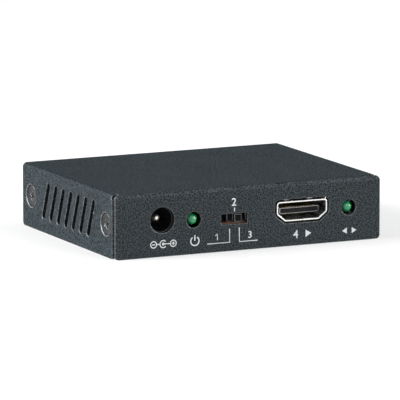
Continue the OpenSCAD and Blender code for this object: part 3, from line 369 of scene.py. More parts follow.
# Press nuts
# Round steel nuts pressed into the ears from inside, zinc plated. The
# cover's screws run into them.
def plating_group():
    """Fine scratches, clouds of tarnish and a softly uneven gloss."""
    group, given, made = new_group(
        "plating",
        {"Place": "vector", "Colour": "colour", "Tarnish": "colour", "Amount": "value", "Gloss": "value"},
        FINISH)
    place = given["Place"]
    stretch = group.nodes.new("ShaderNodeMapping")
    stretch.inputs["Scale"].default_value = (1.0, 0.12, 1.0)
    group.links.new(place, stretch.inputs["Vector"])
    lines = noise(group, stretch.outputs["Vector"], scale=14000, detail=2.0, roughness=0.6)
    cloud = noise(group, place, scale=700, detail=4.0, roughness=0.6)
    mask = calc(group, "MULTIPLY", spread(group, cloud, (0.45, 0.75), (0, 1)), given["Amount"])
    colour = mixed(group, mask, given["Colour"], given["Tarnish"])
    colour = shaded(group, colour, spread(group, lines, (0.3, 0.7), (0.9, 1.06)))
    group.links.new(colour, made["Colour"])
    uneven = calc(group, "MULTIPLY", calc(group, "ADD", lines, cloud), 0.5)
    dullest = calc(group, "ADD", given["Gloss"], 0.16)
    group.links.new(spread(group, uneven, (0.35, 0.65), (given["Gloss"], dullest)), made["Roughness"])
    group.links.new(lines, made["Height"])
    return group


plating = plating_group()


def metal_material(name, colour, tarnish, amount, gloss, scratch=0.12, metallic=1.0):
    """A metal or plating, tarnished by an amount. The gloss is its lowest roughness."""
    material, tree, shader, place = new_material(name, metallic=metallic)
    skin = use(tree, plating, Place=place, Colour=colour, Tarnish=tarnish, Amount=amount, Gloss=gloss)
    coloured(tree, shader, skin["Colour"], skin["Roughness"])
    if scratch:
        bumped(tree, shader, skin["Height"], strength=scratch, distance=0.01 * MM)
    return material


zinc_plate = metal_material("zinc_plate", (0.62, 0.63, 0.66), tarnish=(0.42, 0.44, 0.5),
                            amount=0.6, gloss=0.26)
soften(dress("press_nuts", zinc_plate), width=0.08 * MM)

# Spacers
# Four threaded round spacers, turned from steel and pressed into the floor.
# They carry the circuit board.
soften(dress("board_spacers", zinc_plate), width=0.08 * MM)


# Circuit board
# Four-layer glass-fibre board with green solder mask over its copper. It
# lies on the four spacers.
def bands(tree, place, direction, scale, distortion=0.0, detail=2.0):
    """Parallel bands across a direction; returns their grey value."""
    n = tree.nodes.new("ShaderNodeTexWave")
    n.bands_direction = direction
    n.inputs["Scale"].default_value = scale
    n.inputs["Distortion"].default_value = distortion
    n.inputs["Detail"].default_value = detail
    tree.links.new(place, n.inputs["Vector"])
    return n.outputs["Fac"]


def board_material():
    """Solder mask over fields of parallel tracks, with tinned holes."""
    material, tree, shader, place = new_material("solder_mask")
    weave = noise(tree, place, scale=2600, detail=2.0)
    turned = tree.nodes.new("ShaderNodeMapping")
    turned.inputs["Rotation"].default_value = (0, 0, math.radians(45))
    tree.links.new(place, turned.inputs["Vector"])
    field = tree.nodes.new("ShaderNodeSeparateColor")
    tree.links.new(cells(tree, place, scale=190, randomness=0.8)["Color"], field.inputs["Color"])
    copper = 0.0
    for source, direction, channel, test, limit in (
            (place, "X", "Red", "LESS_THAN", 0.3),
            (place, "Y", "Red", "GREATER_THAN", 0.7),
            (turned.outputs["Vector"], "X", "Green", "LESS_THAN", 0.2)):
        tracks = spread(tree, bands(tree, source, direction, scale=380), (0.62, 0.7), (0, 1))
        here = calc(tree, test, field.outputs[channel], limit)
        copper = calc(tree, "MAXIMUM", copper, calc(tree, "MULTIPLY", tracks, here))
    dots = spread(tree, cells(tree, place, scale=420)["Distance"], (0.11, 0.14), (1, 0))
    green = mixed(tree, copper, (0.006, 0.055, 0.022), (0.012, 0.12, 0.045))
    green = mixed(tree, dots, green, (0.55, 0.48, 0.3))
    coloured(tree, shader, green, spread(tree, weave, (0.3, 0.7), (0.22, 0.36)))
    height = calc(tree, "ADD", calc(tree, "MULTIPLY", copper, 0.8), calc(tree, "MULTIPLY", weave, 0.2))
    bumped(tree, shader, height, strength=0.5, distance=0.04 * MM)
    return material


def core_material():
    """The cut edge of the board: glass fibre in layers, coloured dark."""
    material, tree, shader, place = new_material("glass_fibre")
    layers = bands(tree, place, "Z", scale=900, distortion=1.5, detail=3)
    coloured(tree, shader, mixed(tree, layers, (0.02, 0.03, 0.012), (0.05, 0.055, 0.025)),
             spread(tree, layers, (0, 1), (0.5, 0.75)))
    return material


def paint_faces(piece, number, test):
    """Gives a material number to the faces whose centre and normal pass a test."""
    for face in piece.data.polygons:
        if test(face.center, face.normal):
            face.material_index = number


board = dress("circuit_board", board_material(), core_material())
paint_faces(board, 1, lambda centre, normal: abs(normal.z) < 0.5)
soften(board, width=0.05 * MM, segments=1)


# Chips
# Main processor, controller, sound converter and memory: black moulded
# resin on tinned pins, soldered to the board.
def moulding_group():
    """Fine spark-eroded texture of a moulded surface, faintly uneven."""
    group, given, made = new_group(
        "moulding", {"Place": "vector", "Colour": "colour", "Grain": "value", "Dull": "value"}, FINISH)
    place = given["Place"]
    grain = noise(group, place, scale=given["Grain"], detail=3.0, roughness=0.6)
    cloud = noise(group, place, scale=260, detail=2.0)
    colour = shaded(group, given["Colour"], spread(group, grain, (0.3, 0.7), (0.8, 1.25)))
    colour = shaded(group, colour, spread(group, cloud, (0.3, 0.7), (0.92, 1.08)))
    group.links.new(colour, made["Colour"])
    smoothest = calc(group, "SUBTRACT", given["Dull"], 0.07)
    dullest = calc(group, "ADD", given["Dull"], 0.07)
    group.links.new(spread(group, grain, (0.3, 0.7), (smoothest, dullest)), made["Roughness"])
    group.links.new(grain, made["Height"])
    return group


moulding = moulding_group()


def plastic_material(name, colour, grain, dull, relief, specular=0.5):
    """A moulded plastic, with the scale of its grain, its mean roughness and
    the depth of its grain."""
    material, tree, shader, place = new_material(name, specular=specular)
    skin = use(tree, moulding, Place=place, Colour=colour, Grain=grain, Dull=dull)
    coloured(tree, shader, skin["Colour"], skin["Roughness"])
    bumped(tree, shader, skin["Height"], strength=relief, distance=0.03 * MM)
    return material


chip_resin = plastic_material("chip_resin", (0.016, 0.016, 0.018), grain=6500.0, dull=0.55, relief=0.3)
tinned = metal_material("tinned", (0.68, 0.69, 0.7), tarnish=(0.5, 0.5, 0.48), amount=0.7, gloss=0.3)
# Past the ends of the chips that have pins on two sides only.
NO_PINS = 9


def chip(node, half_x, half_y):
    """Resin inside the given half sizes in millimetres, tinned pins outside."""
    low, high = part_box(node)
    middle = (low + high) / 2

    def on_pins(centre, normal):
        return abs(centre.x - middle.x) > half_x * MM or abs(centre.y - middle.y) > half_y * MM

    piece = dress(node, chip_resin, tinned)
    paint_faces(piece, 1, on_pins)
    soften(piece, width=0.03 * MM, segments=1)


chip("embedder_chip", 7.02, 7.02)
chip("controller_chip", 3.52, 3.52)
chip("audio_chip", NO_PINS, 2.22)
chip("memory_chip", NO_PINS, 1.97)

# Heat pad and sink
# Grey heat tape, then an extruded seven-fin sink of clear anodised
# aluminium stuck on the main processor.
heat_tape = plastic_material("heat_tape", (0.36, 0.37, 0.39), grain=3000.0, dull=0.8, relief=0.4)
anodised = metal_material("anodised", (0.6, 0.62, 0.64), tarnish=(0.45, 0.47, 0.5),
                          amount=0.4, gloss=0.36, scratch=0.3)
soften(dress("thermal_tape", heat_tape), width=0.03 * MM, segments=1)
soften(dress("heat_sink", anodised), width=0.1 * MM)


# Small board parts
# Ceramic capacitors and chip resistors, sintered bodies with tinned ends,
# each modelled once and copied to its places. Surge protectors and a fuse in
# moulded resin. All are placed by machine and soldered.
# Points that share a micron are one, and solids are sorted by a hundredth
# of a millimetre.
PER_MICRON, DIGITS = 1e6, 5


def solids(node):
    """Lowest and highest corner of each separate solid of a CAD node."""
    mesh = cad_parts[node].data
    keys = {}
    number = []
    for v in mesh.vertices:
        key = tuple(round(c * PER_MICRON) for c in v.co)
        number.append(keys.setdefault(key, len(keys)))
    parent = list(range(len(keys)))

    def root(i):
        while parent[i] != i:
            parent[i] = parent[parent[i]]
            i = parent[i]
        return i

    for face in mesh.polygons:
        first, *others = [number[i] for i in face.vertices]
        for other in others:
            parent[root(other)] = root(first)
    boxes = {}
    for v, n in zip(mesh.vertices, number):
        low, high = boxes.setdefault(root(n), (v.co.copy(), v.co.copy()))
        for k in range(3):
            low[k] = min(low[k], v.co[k])
            high[k] = max(high[k], v.co[k])
    return sorted(boxes.values(), key=lambda box: [round(c, DIGITS) for c in box[0]])


def block(name, low, high):
    """A box between two corners, added as a primitive cube."""
    low, high = Vector(low), Vector(high)
    bpy.ops.object.select_all(action="DESELECT")
    bpy.ops.mesh.primitive_cube_add(size=1, location=(low + high) / 2, scale=high - low)
    piece = bpy.context.object
    piece.name = name
    bpy.ops.object.transform_apply(location=True, rotation=True, scale=True)
    return piece


def edit(piece, test):
    """Opens a piece with the faces whose centre and normal pass a test selected."""
    only(piece)
    bpy.context.tool_settings.mesh_select_mode = (False, False, True)
    for group in (piece.data.vertices, piece.data.edges, piece.data.polygons):
        for item in group:
            item.select = False
    for face in piece.data.polygons:
        face.select = test(face.center, face.normal)
    bpy.ops.object.mode_set(mode="EDIT")


def close():
    """Leaves edit mode."""
    bpy.ops.object.mode_set(mode="OBJECT")


def all_over(centre, normal):
    """The test that every face passes."""
    return True


def on_top(centre, normal):
    """The test that faces looking up pass."""
    return normal.z > 0.9


def cut_across(points, axis):
    """Cuts an open piece all round through each point, square to an axis."""
    for point in points:
        bpy.ops.mesh.select_all(action="SELECT")
        bpy.ops.mesh.bisect(plane_co=point, plane_no=axis)


def raise_face(height, margin=0.0):
    """Draws the selected faces in by a margin, then lifts or sinks them."""
    if margin:
        bpy.ops.mesh.inset(thickness=margin, depth=0)
    bpy.ops.mesh.extrude_region_move(TRANSFORM_OT_translate={"value": (0, 0, height)})


def round_edges(piece, width, segments=2, angle=SHARP_ANGLE, rim=OWN):
    """Applies a bevel to every sharp edge and smooths the shading."""
    only(piece)
    bevel = piece.modifiers.new("edges", "BEVEL")
    bevel.width = width
    bevel.segments = segments
    bevel.limit_method = "ANGLE"
    bevel.angle_limit = angle
    bevel.material = rim
    bpy.ops.object.modifier_apply(modifier="edges")
    bpy.ops.object.shade_smooth_by_angle(angle=math.radians(40))


def join(pieces):
    """Joins pieces into the first one."""
    bpy.ops.object.select_all(action="DESELECT")
    for piece in pieces:
        piece.select_set(True)
    bpy.context.view_layer.objects.active = pieces[0]
    bpy.ops.object.join()
    return pieces[0]


def stand_in(piece, name, node, moves):
    """Copies a piece made at the origin by each move. The copies are joined
    and take the place of a CAD node."""
    made = []
    for move in moves:
        twin = piece.copy()
        twin.data = piece.data.copy()
        scene.collection.objects.link(twin)
        twin.data.transform(move)
        made.append(twin)
    bpy.data.objects.remove(piece)
    joined = join(made)
    joined.name = name
    joined.data.name = name
    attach(joined, "case")
    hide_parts(node)


def to_floor(box):
    """The move from the origin to the middle of a box's lower face."""
    low, high = box
    return Matrix.Translation(((low.x + high.x) / 2, (low.y + high.y) / 2, low.z))


CAP_SHARE, CAP_PROUD, CAP_EDGE = 0.18, 0.02 * MM, 0.04 * MM


def chip_part(name, node, body, end):
    """Body with two end caps, each a touch proud of it, for every solid of a node."""
    boxes = solids(node)
    half = (boxes[0][1] - boxes[0][0]) / 2
    cap_start = half.x - 2 * half.x * CAP_SHARE

    def on_cap(centre, normal):
        return abs(centre.x) > cap_start

    piece = block(name, (-half.x, -half.y + CAP_PROUD, CAP_PROUD),
                  (half.x, half.y - CAP_PROUD, 2 * half.z - CAP_PROUD))
    edit(piece, all_over)
    cut_across([(-cap_start, 0, 0), (cap_start, 0, 0)], axis=(1, 0, 0))
    close()
    edit(piece, on_cap)
    bpy.ops.mesh.extrude_region_shrink_fatten(TRANSFORM_OT_shrink_fatten={"value": CAP_PROUD})
    close()
    piece.data.materials.append(body)
    piece.data.materials.append(end)
    paint_faces(piece, 1, on_cap)
    round_edges(piece, CAP_EDGE)
    stand_in(piece, name, node, [to_floor(box) for box in boxes])


ceramic = plastic_material("ceramic", (0.36, 0.25, 0.13), grain=4000.0, dull=0.4, relief=0.15)
glaze = plastic_material("resistor_glaze", (0.018, 0.018, 0.02), grain=3000.0, dull=0.25, relief=0.1)
fuse_resin = plastic_material("fuse_resin", (0.3, 0.2, 0.07), grain=4000.0, dull=0.45, relief=0.2)
chip_part("ceramic_capacitor_set", "ceramic_capacitors", ceramic, tinned)
chip_part("chip_resistor_set", "chip_resistors", glaze, tinned)
soften(dress("surge_arrays", chip_resin), width=0.04 * MM, segments=1)
soften(dress("input_fuse", fuse_resin), width=0.12 * MM)


# Regulators, diode and crystal
# Regulators and a diode in moulded resin on flat tinned feet, and the
# crystal in a drawn steel can. All are soldered to the board.
FOOT_HEIGHT = 0.26 * MM


def on_feet(node):
    """A resin body over tinned feet."""
    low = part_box(node)[0]
    piece = dress(node, chip_resin, tinned)
    paint_faces(piece, 1, lambda centre, normal: centre.z < low.z + FOOT_HEIGHT)
    soften(piece, width=0.05 * MM, segments=1)


on_feet("regulators")
on_feet("input_diode")
drawn_can = metal_material("drawn_can", (0.72, 0.72, 0.7), tarnish=(0.55, 0.55, 0.52), amount=0.5, gloss=0.2)
soften(dress("crystal_can", drawn_can), width=0.25 * MM, segments=3)


# Coils
# Two shielded power coils: pressed ferrite with rounded corners, a round cap
# over the winding, soldered by their ends.
def cylinder(sides, radius, height, foot, turn=0.0):
    """A bar with a round or three-sided outline that stands on a point."""
    centre = Vector(foot) + Vector((0, 0, height / 2))
    bpy.ops.object.select_all(action="DESELECT")
    bpy.ops.mesh.primitive_cylinder_add(vertices=sides, radius=radius, depth=height,
                                        location=centre, rotation=(0, 0, turn))
    bpy.ops.object.transform_apply(location=True, rotation=True, scale=True)
    return bpy.context.object


def coil_set():
    """Ferrite body with a sunk top, in which the cap of the winding stands."""
    body_height, rim, well = 2.9 * MM, 0.7 * MM, 0.3 * MM
    cap_radius, cap_foot, cap_height = 1.7 * MM, 2.6 * MM, 0.5 * MM
    cap_rim, dish = 0.5 * MM, 0.1 * MM
    boxes = solids("power_inductors")
    half = (boxes[0][1] - boxes[0][0]) / 2
    body = block("coil", (-half.x, -half.y, 0), (half.x, half.y, body_height))
    edit(body, on_top)
    raise_face(-well, margin=rim)
    close()
    round_edges(body, 0.3 * MM, segments=3)
    cap = cylinder(48, cap_radius, cap_height, foot=(0, 0, cap_foot))
    edit(cap, on_top)
    raise_face(-dish, margin=cap_rim)
    close()
    round_edges(cap, 0.06 * MM)
    coil = join([body, cap])
    coil.data.materials.append(
        plastic_material("ferrite", (0.035, 0.035, 0.04), grain=3500.0, dull=0.6, relief=0.5))
    stand_in(coil, "power_coil_set", "power_inductors", [to_floor(box) for box in boxes])


coil_set()


# Round capacitors
# Aluminium cans crimped onto black plastic bases, with a black polarity
# patch on top. Soldered to the board.
def can_set():
    """Stepped base, and a can with its crimp, sunk top and patch."""
    base_height, step_margin, step = 0.9 * MM, 0.25 * MM, 0.2 * MM
    can_radius, can_height = 2.5 * MM, 4.5 * MM
    crimp_low, crimp, crimp_high, neck = 1.3 * MM, 1.6 * MM, 1.9 * MM, 0.93
    top_margin, sink, patch_start = 0.3 * MM, 0.08 * MM, 0.7 * MM
    can_top = base_height + can_height
    aluminium = metal_material("drawn_aluminium", (0.66, 0.67, 0.68), tarnish=(0.5, 0.5, 0.5),
                               amount=0.3, gloss=0.24, scratch=0)
    boxes = solids("electrolytic_capacitors")
    half = (boxes[0][1] - boxes[0][0]).x / 2
    base = block("can_base", (-half, -half, 0), (half, half, base_height))
    edit(base, on_top)
    raise_face(step, margin=step_margin)
    close()
    round_edges(base, 0.2 * MM)
    base.data.materials.append(chip_resin)
    can = cylinder(64, can_radius, can_height, foot=(0, 0, base_height))
    edit(can, all_over)
    bpy.ops.mesh.select_mode(type="EDGE")
    cut_across([(0, 0, crimp_low), (0, 0, crimp_high), (0, 0, crimp)], axis=(0, 0, 1))
    # A cut leaves its own ring selected, here that of the crimp.
    bpy.ops.transform.resize(value=(neck, neck, 1))
    close()
    edit(can, on_top)
    raise_face(-sink, margin=top_margin)
    bpy.ops.mesh.bisect(plane_co=(patch_start, 0, 0), plane_no=(1, 0, 0))
    close()
    can.data.materials.append(aluminium)
    can.data.materials.append(chip_resin)
    paint_faces(can, 1, lambda centre, normal: on_top(centre, normal)
                and centre.z < can_top - sink / 2 and centre.x > patch_start)
    round_edges(can, 0.12 * MM, segments=3)
    stand_in(join([base, can]), "round_capacitor_set", "electrolytic_capacitors",
             [to_floor(box) for box in boxes])


can_set()

# Power inlet
# Black moulded body with the barrel's bore, a bright nickel-plated centre
# pin and a sprung brass sleeve. Stands in a notch of the board.
gloss_black = plastic_material("gloss_black", (0.010, 0.010, 0.011), grain=3500.0, dull=0.3, relief=0.1)
bright_nickel = metal_material("bright_nickel", (0.86, 0.85, 0.82), tarnish=(0.66, 0.64, 0.58),
                               amount=0.35, gloss=0.26, scratch=0.06)
spring_brass = metal_material("spring_brass", (0.76, 0.6, 0.32), tarnish=(0.5, 0.36, 0.18),
                              amount=0.5, gloss=0.22)
soften(dress("dc_jack_housing", gloss_black), width=0.15 * MM, segments=3)
soften(dress("dc_jack_pin", bright_nickel), width=0.05 * MM)
soften(dress("dc_jack_spring", spring_brass), width=0.04 * MM)


# Lights
# Two 3 mm lights: domed lens of green epoxy cast round its cup and wire,
# a black spacer behind, and two tinned leads bent down through the board.
def lens_material():
    """Green epoxy that light soaks into, under a clear skin."""
    material, tree, shader, place = new_material("green_epoxy")
    swirl = noise(tree, place, scale=900, detail=3.0)
    green = mixed(tree, spread(tree, swirl, (0.3, 0.7), (0, 1)), (0.012, 0.26, 0.09), (0.03, 0.42, 0.16))
    coloured(tree, shader, green, spread(tree, swirl, (0.3, 0.7), (0.08, 0.16)))
    shader.inputs["Subsurface Weight"].default_value = 0.5
    shader.inputs["Subsurface Radius"].default_value = (0.2, 1.0, 0.4)
    shader.inputs["Subsurface Scale"].default_value = 1.2 * MM
    shader.inputs["Coat Weight"].default_value = 0.6
    shader.inputs["Coat Roughness"].default_value = 0.14
    return material


lens_green = lens_material()
holder_black = plastic_material("holder_black", (0.013, 0.013, 0.014), grain=4500.0, dull=0.5, relief=0.25)
for light in ("power", "link"):
    soften(dress(f"{light}_light_lens", lens_green), width=0.06 * MM)
    soften(dress(f"{light}_light_leads", tinned), width=0.06 * MM)
    soften(dress(f"{light}_light_holder", holder_black), width=0.12 * MM)


# Slide switch
# Folded tin-plated frame over a brown laminated contact plate. The black
# knob slides between them on its sprung clip. Four pins through the board.
def laminate_material():
    """Brown paper laminate, its fibres drawn out along X."""
    material, tree, shader, place = new_material("brown_laminate")
    fibres = tree.nodes.new("ShaderNodeMapping")
    fibres.inputs["Scale"].default_value = (0.3, 1, 3)
    tree.links.new(place, fibres.inputs["Vector"])
    weave = noise(tree, fibres.outputs["Vector"], scale=5000, detail=4.0, roughness=0.65)
    brown = mixed(tree, spread(tree, weave, (0.3, 0.7), (0, 1)), (0.07, 0.026, 0.010), (0.17, 0.075, 0.035))
    coloured(tree, shader, brown, spread(tree, weave, (0.3, 0.7), (0.42, 0.62)))
    bumped(tree, shader, weave, strength=0.3, distance=0.03 * MM)
    return material


tin_plate = metal_material("tin_plate", (0.6, 0.61, 0.62), tarnish=(0.42, 0.42, 0.42), amount=0.6, gloss=0.32)
knob_black = plastic_material("knob_black", (0.003, 0.003, 0.0035), grain=5000.0, dull=0.6,
                              relief=0.2, specular=0.08)
# The knob's rounded edges are light grey: a painted highlight down both edges of the black knob.
knob_edge_highlight = plastic_material("knob_edge_highlight", (0.34, 0.34, 0.345), grain=5000.0, dull=0.3, relief=0.1)
soften(dress("switch_frame", tin_plate), width=0.05 * MM)
soften(dress("switch_base", laminate_material()), width=0.04 * MM)
soften(dress("switch_knob", knob_black, knob_edge_highlight), width=0.13 * MM, segments=3, rim=RIM)
soften(dress("switch_contact", spring_brass), width=0.04 * MM, segments=1)
soften(dress("switch_terminals", tinned), width=0.04 * MM, segments=1)

# Video ports
# Drawn shells of nickel-plated steel with a seam underneath and two spring
# fingers on top, a dark tongue inside and gilt contacts on both its faces.
shell_nickel = metal_material("shell_nickel", (0.9, 0.89, 0.87), tarnish=(0.7, 0.69, 0.65),
                              amount=0.4, gloss=0.2, scratch=0.08)
tongue_dark = plastic_material("tongue_dark", (0.008, 0.008, 0.009), grain=4500.0, dull=0.65,
                               relief=0.2, specular=0.15)
# The tongue's rounded edges are light grey: a painted highlight line along the dark tongue.
tongue_edge_highlight = plastic_material("tongue_edge_highlight", (0.38, 0.385, 0.39), grain=4500.0, dull=0.26, relief=0.1)
gilt = metal_material("gilt", (0.5, 0.36, 0.15), tarnish=(0.34, 0.22, 0.09), amount=0.5, gloss=0.28)
for port in ("video_out", "video_in"):
    soften(dress(f"{port}_shell", shell_nickel), width=0.07 * MM)
    soften(dress(f"{port}_tongue", tongue_dark, tongue_edge_highlight), width=0.16 * MM, segments=3, rim=RIM)
    soften(dress(f"{port}_contacts", gilt), width=0.02 * MM, segments=1)

# Line input
# Black moulded body with a round nose, a nickel ring pressed into its
# mouth, and four sprung blades whose feet are soldered to the board.
nose_black = plastic_material("nose_black", (0.012, 0.012, 0.013), grain=4500.0, dull=0.4, relief=0.2)
ring_nickel = metal_material("ring_nickel", (0.42, 0.42, 0.41), tarnish=(0.24, 0.23, 0.21),
                             amount=0.5, gloss=0.3, scratch=0.08)
soften(dress("line_jack_housing", nose_black), width=0.1 * MM)
soften(dress("line_jack_ring", ring_nickel), width=0.1 * MM, segments=3)
soften(dress("line_jack_contacts", spring_brass), width=0.04 * MM, segments=1)

# Optical input
# Dark grey moulded housing pegged to the board, with a shutter that hangs
# on a steel pin, its wire spring, and the receiver with three leads behind.
optical_grey = plastic_material("optical_grey", (0.016, 0.018, 0.020), grain=4200.0, dull=0.45,
                                relief=0.22, specular=0.3)
# Rounded edges of housing and shutter are light grey: painted highlights on the dark plastic.
optical_edge_highlight = plastic_material("optical_edge_highlight", (0.24, 0.247, 0.256), grain=4200.0, dull=0.3, relief=0.1)
shutter_grey = plastic_material("shutter_grey", (0.030, 0.032, 0.035), grain=4200.0, dull=0.42,
                                relief=0.2, specular=0.3)
receiver_resin = plastic_material("receiver_resin", (0.012, 0.011, 0.014), grain=3000.0, dull=0.2,
                                  relief=0.05)
pin_steel = metal_material("pin_steel", (0.58, 0.59, 0.6), tarnish=(0.4, 0.4, 0.4), amount=0.3, gloss=0.2)
soften(dress("optical_housing", optical_grey, optical_edge_highlight), width=0.08 * MM, rim=RIM)
soften(dress("optical_shutter", shutter_grey, optical_edge_highlight), width=0.03 * MM, segments=1, rim=RIM)
soften(dress("optical_hinge_pin", pin_steel), width=0.03 * MM, segments=1)
dress("optical_spring", pin_steel)
soften(dress("optical_receiver", receiver_resin), width=0.1 * MM)
soften(dress("optical_leads", tinned), width=0.04 * MM, segments=1)

# Board screws
# Four zinc-plated pan-head screws with cross recesses that hold the board
# down on its spacers.
soften(dress("board_screws", zinc_plate), width=0.09 * MM)

# Cover
# Top, side walls and front panel bent from one steel sheet, slotted at the
# sides, powder coated like the base. Slides over the base from above.
SHEET, BEND, SLACK, POINT_REACH = 1.0 * MM, 1.2 * MM, 0.01 * MM, 0.3 * MM
cover = dress("top_cover", charcoal_coat, coat_rim_and_highlight)
low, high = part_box("top_cover")
# The inside of the front bend runs out to a point at both slits. It is
# welded there, which leaves room for the rounding of the edges.
cover.vertex_groups.new(name="inner_bend").add(
    [v.index for v in cover.data.vertices
     if low.y + SHEET - SLACK < v.co.y < low.y + BEND + SLACK
     and high.z - BEND - SLACK < v.co.z < high.z - SHEET + SLACK
     and abs(v.co.x) < high.x - BEND], 1.0, "REPLACE")
points = cover.modifiers.new("points", "WELD")
points.merge_threshold = POINT_REACH
points.vertex_group = "inner_bend"
soften(cover, width=0.16 * MM, segments=3, rim=RIM)


# Printed marks
# White silk-screen ink on the two end faces: bracket lines and numbers of
# the switch, power and polarity signs, and a number or arrow at each port.
def ink_material():
    """White ink, a little thinner in places."""
    material, tree, shader, place = new_material("white_ink")
    patchy = noise(tree, place, scale=3800, detail=3.0, roughness=0.6)
    white = mixed(tree, spread(tree, patchy, (0.35, 0.6), (0, 1)), (0.68, 0.69, 0.7), (0.88, 0.89, 0.9))
    coloured(tree, shader, white, spread(tree, patchy, (0.3, 0.7), (0.5, 0.7)))
    bumped(tree, shader, patchy, strength=0.2, distance=0.02 * MM)
    return material


# The artwork is drawn in millimetres for a face of this width, X from its
# middle and Y from its lower edge, and scaled to the face of the case.
ART_WIDTH = 78
ART = (cad_box[1][0] - cad_box[0][0]) / ART_WIDTH
INK_PROUD = 0.006 * MM
LINE_FLATNESS = 0.05
ARROW_THICKNESS = 0.01 * MM
FIGURE_WEIGHT, FIGURE_THICKNESS, FIGURE_FLATNESS = 0.012, 0.01, 0.0004
RING_STEPS = 40
THIN, FIRM, BOLD = 0.26, 0.3, 0.34


class Face:
    """Places flat artwork drawn in X and Y onto an end face."""

    def __init__(self, level, side):
        self.level = level
        self.side = side
        self.made = []

    def lay(self, piece):
        """Stands the artwork up and moves it onto the face."""
        turn = Matrix.Rotation(math.radians(90), 4, "X")
        if self.side > 0:
            turn = Matrix.Rotation(math.radians(180), 4, "Z") @ turn
        piece.data.transform(Matrix.Translation((0, self.level + self.side * INK_PROUD, 0)) @ turn)
        self.made.append(piece)

    def line(self, points, width, closed=False):
        """An inked line with flat ends through points."""
        curve = bpy.data.curves.new("ink_line", "CURVE")
        curve.dimensions = "3D"
        curve.bevel_depth = width / 2 * MM
        curve.bevel_resolution = 2
        curve.use_fill_caps = True
        path = curve.splines.new("POLY")
        path.points.add(len(points) - 1)
        path.use_cyclic_u = closed
        for spot, (x, y) in zip(path.points, points):
            spot.co = (x * ART, y * ART, 0, 1)
        piece = bpy.data.objects.new("ink_line", curve)
        scene.collection.objects.link(piece)
        only(piece)
        bpy.ops.object.convert(target="MESH")
        piece = bpy.context.object
        piece.data.transform(Matrix.Diagonal((1, 1, LINE_FLATNESS, 1)))
        self.lay(piece)

    def ring(self, x, y, r, width, start=0, end=360):
        """A ring or part of one, angles in degrees from the right."""
        whole = end - start >= 360
        points = []
        for i in range(RING_STEPS if whole else RING_STEPS + 1):
            angle = math.radians(start + (end - start) * i / RING_STEPS)
            points.append((x + r * math.cos(angle), y + r * math.sin(angle)))
        self.line(points, width, whole)

    def figure(self, text, x, low, high):
        """A plain figure centred on x, from one height to another."""
        bpy.ops.object.select_all(action="DESELECT")
        bpy.ops.object.text_add(location=(0, 0, 0))
        piece = bpy.context.object
        piece.data.body = text
        piece.data.extrude = FIGURE_THICKNESS
        piece.data.offset = FIGURE_WEIGHT
        bpy.ops.object.convert(target="MESH")
        piece = bpy.context.object
        xs = [v.co.x for v in piece.data.vertices]
        ys = [v.co.y for v in piece.data.vertices]
        k = (high - low) * ART / (max(ys) - min(ys))
        centre = Matrix.Translation((x * ART, (low + high) / 2 * ART, 0))
        middle = Matrix.Translation((-(min(xs) + max(xs)) / 2, -(min(ys) + max(ys)) / 2, 0))
        piece.data.transform(centre @ Matrix.Diagonal((k, k, FIGURE_FLATNESS, 1)) @ middle)
        self.lay(piece)

    def one(self, x, low, high):
        """A plain one with its flag."""
        reach, drop, stem, trim = 0.5, 0.55, 0.1, 0.13
        self.line([(x - reach, high - drop), (x + stem, high - trim), (x + stem, low + trim)], FIRM)

    def arrow(self, x, y, size, turn=0):
        """A filled triangle that points right, or is turned by degrees."""
        self.lay(cylinder(3, size * ART, ARROW_THICKNESS, foot=(x * ART, y * ART, -ARROW_THICKNESS / 2),
                          turn=math.radians(turn - 90)))

    def finish(self, name):
        """Joins the artwork into one print of white ink."""
        print_sheet = join(self.made)
        print_sheet.name = name
        print_sheet.data.name = name
        print_sheet.data.materials.clear()
        print_sheet.data.materials.append(white_ink)
        paint_faces(print_sheet, 0, all_over)
        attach(print_sheet, "case")


white_ink = ink_material()
front = Face(level=cad_box[0][1], side=-1)

# Polarity sign under the power inlet: minus, split ring round a dot, plus.
sign_y, minus_x, cup_x, plus_x, end_r, arm = 3.4, -27.9, -25.1, -22.2, 0.85, 0.45
for end_x in (minus_x, plus_x):
    front.ring(end_x, sign_y, end_r, THIN)
    front.line([(end_x - arm, sign_y), (end_x + arm, sign_y)], THIN)
front.line([(plus_x, sign_y - arm), (plus_x, sign_y + arm)], THIN)
front.line([(minus_x + end_r, sign_y), (cup_x - 1.1, sign_y)], THIN)
front.line([(cup_x + 0.2, sign_y), (plus_x - 0.9, sign_y)], THIN)
front.ring(cup_x, sign_y, 0.95, FIRM, start=40, end=320)
front.ring(cup_x, sign_y, 0.22, BOLD)

# Power sign at the first light.
power_x, power_y = -15.9, 3.5
front.ring(power_x, power_y, 1.2, BOLD, start=125, end=415)
front.line([(power_x, power_y + 0.1), (power_x, power_y + 1.6)], BOLD)

# Switch: left and right positions with their brackets, the middle one above.
figure_low, figure_high, bracket_y = 3.1, 5.0, 2.4
front.one(-9.4, figure_low, figure_high)
front.line([(-12.3, bracket_y), (-5.7, bracket_y), (-5.76, 6.06)], THIN)
front.figure("3", 0.25, figure_low, figure_high)
front.line([(-2.9, 6.15), (-2.85, 2.35), (2.5, 2.35)], THIN)
front.figure("2", -4.45, 12.1, 14.2)
front.line([(-4.3, 10.6), (-4.3, 11.6)], THIN)

# Video output, and the second light.
front.figure("4", 13.8, 2.0, 4.2)
front.arrow(17.3, 3.1, 1.15)
front.arrow(28.6, 2.9, 0.95, turn=180)
front.arrow(31.0, 2.9, 0.95)
front.finish("front_marks")

# Video, line and optical inputs.
rear = Face(level=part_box("base_tray")[1].y, side=1)
rear.arrow(-17.4, 3.15, 1.1)
rear.figure("3", -14.1, 2.1, 4.2)
rear.arrow(5.3, 3.2, 1.1)
rear.figure("2", 8.15, 2.15, 4.25)
rear.arrow(23.3, 3.1, 1.15)
rear.one(26.2, 1.95, 4.2)
rear.finish("rear_marks")


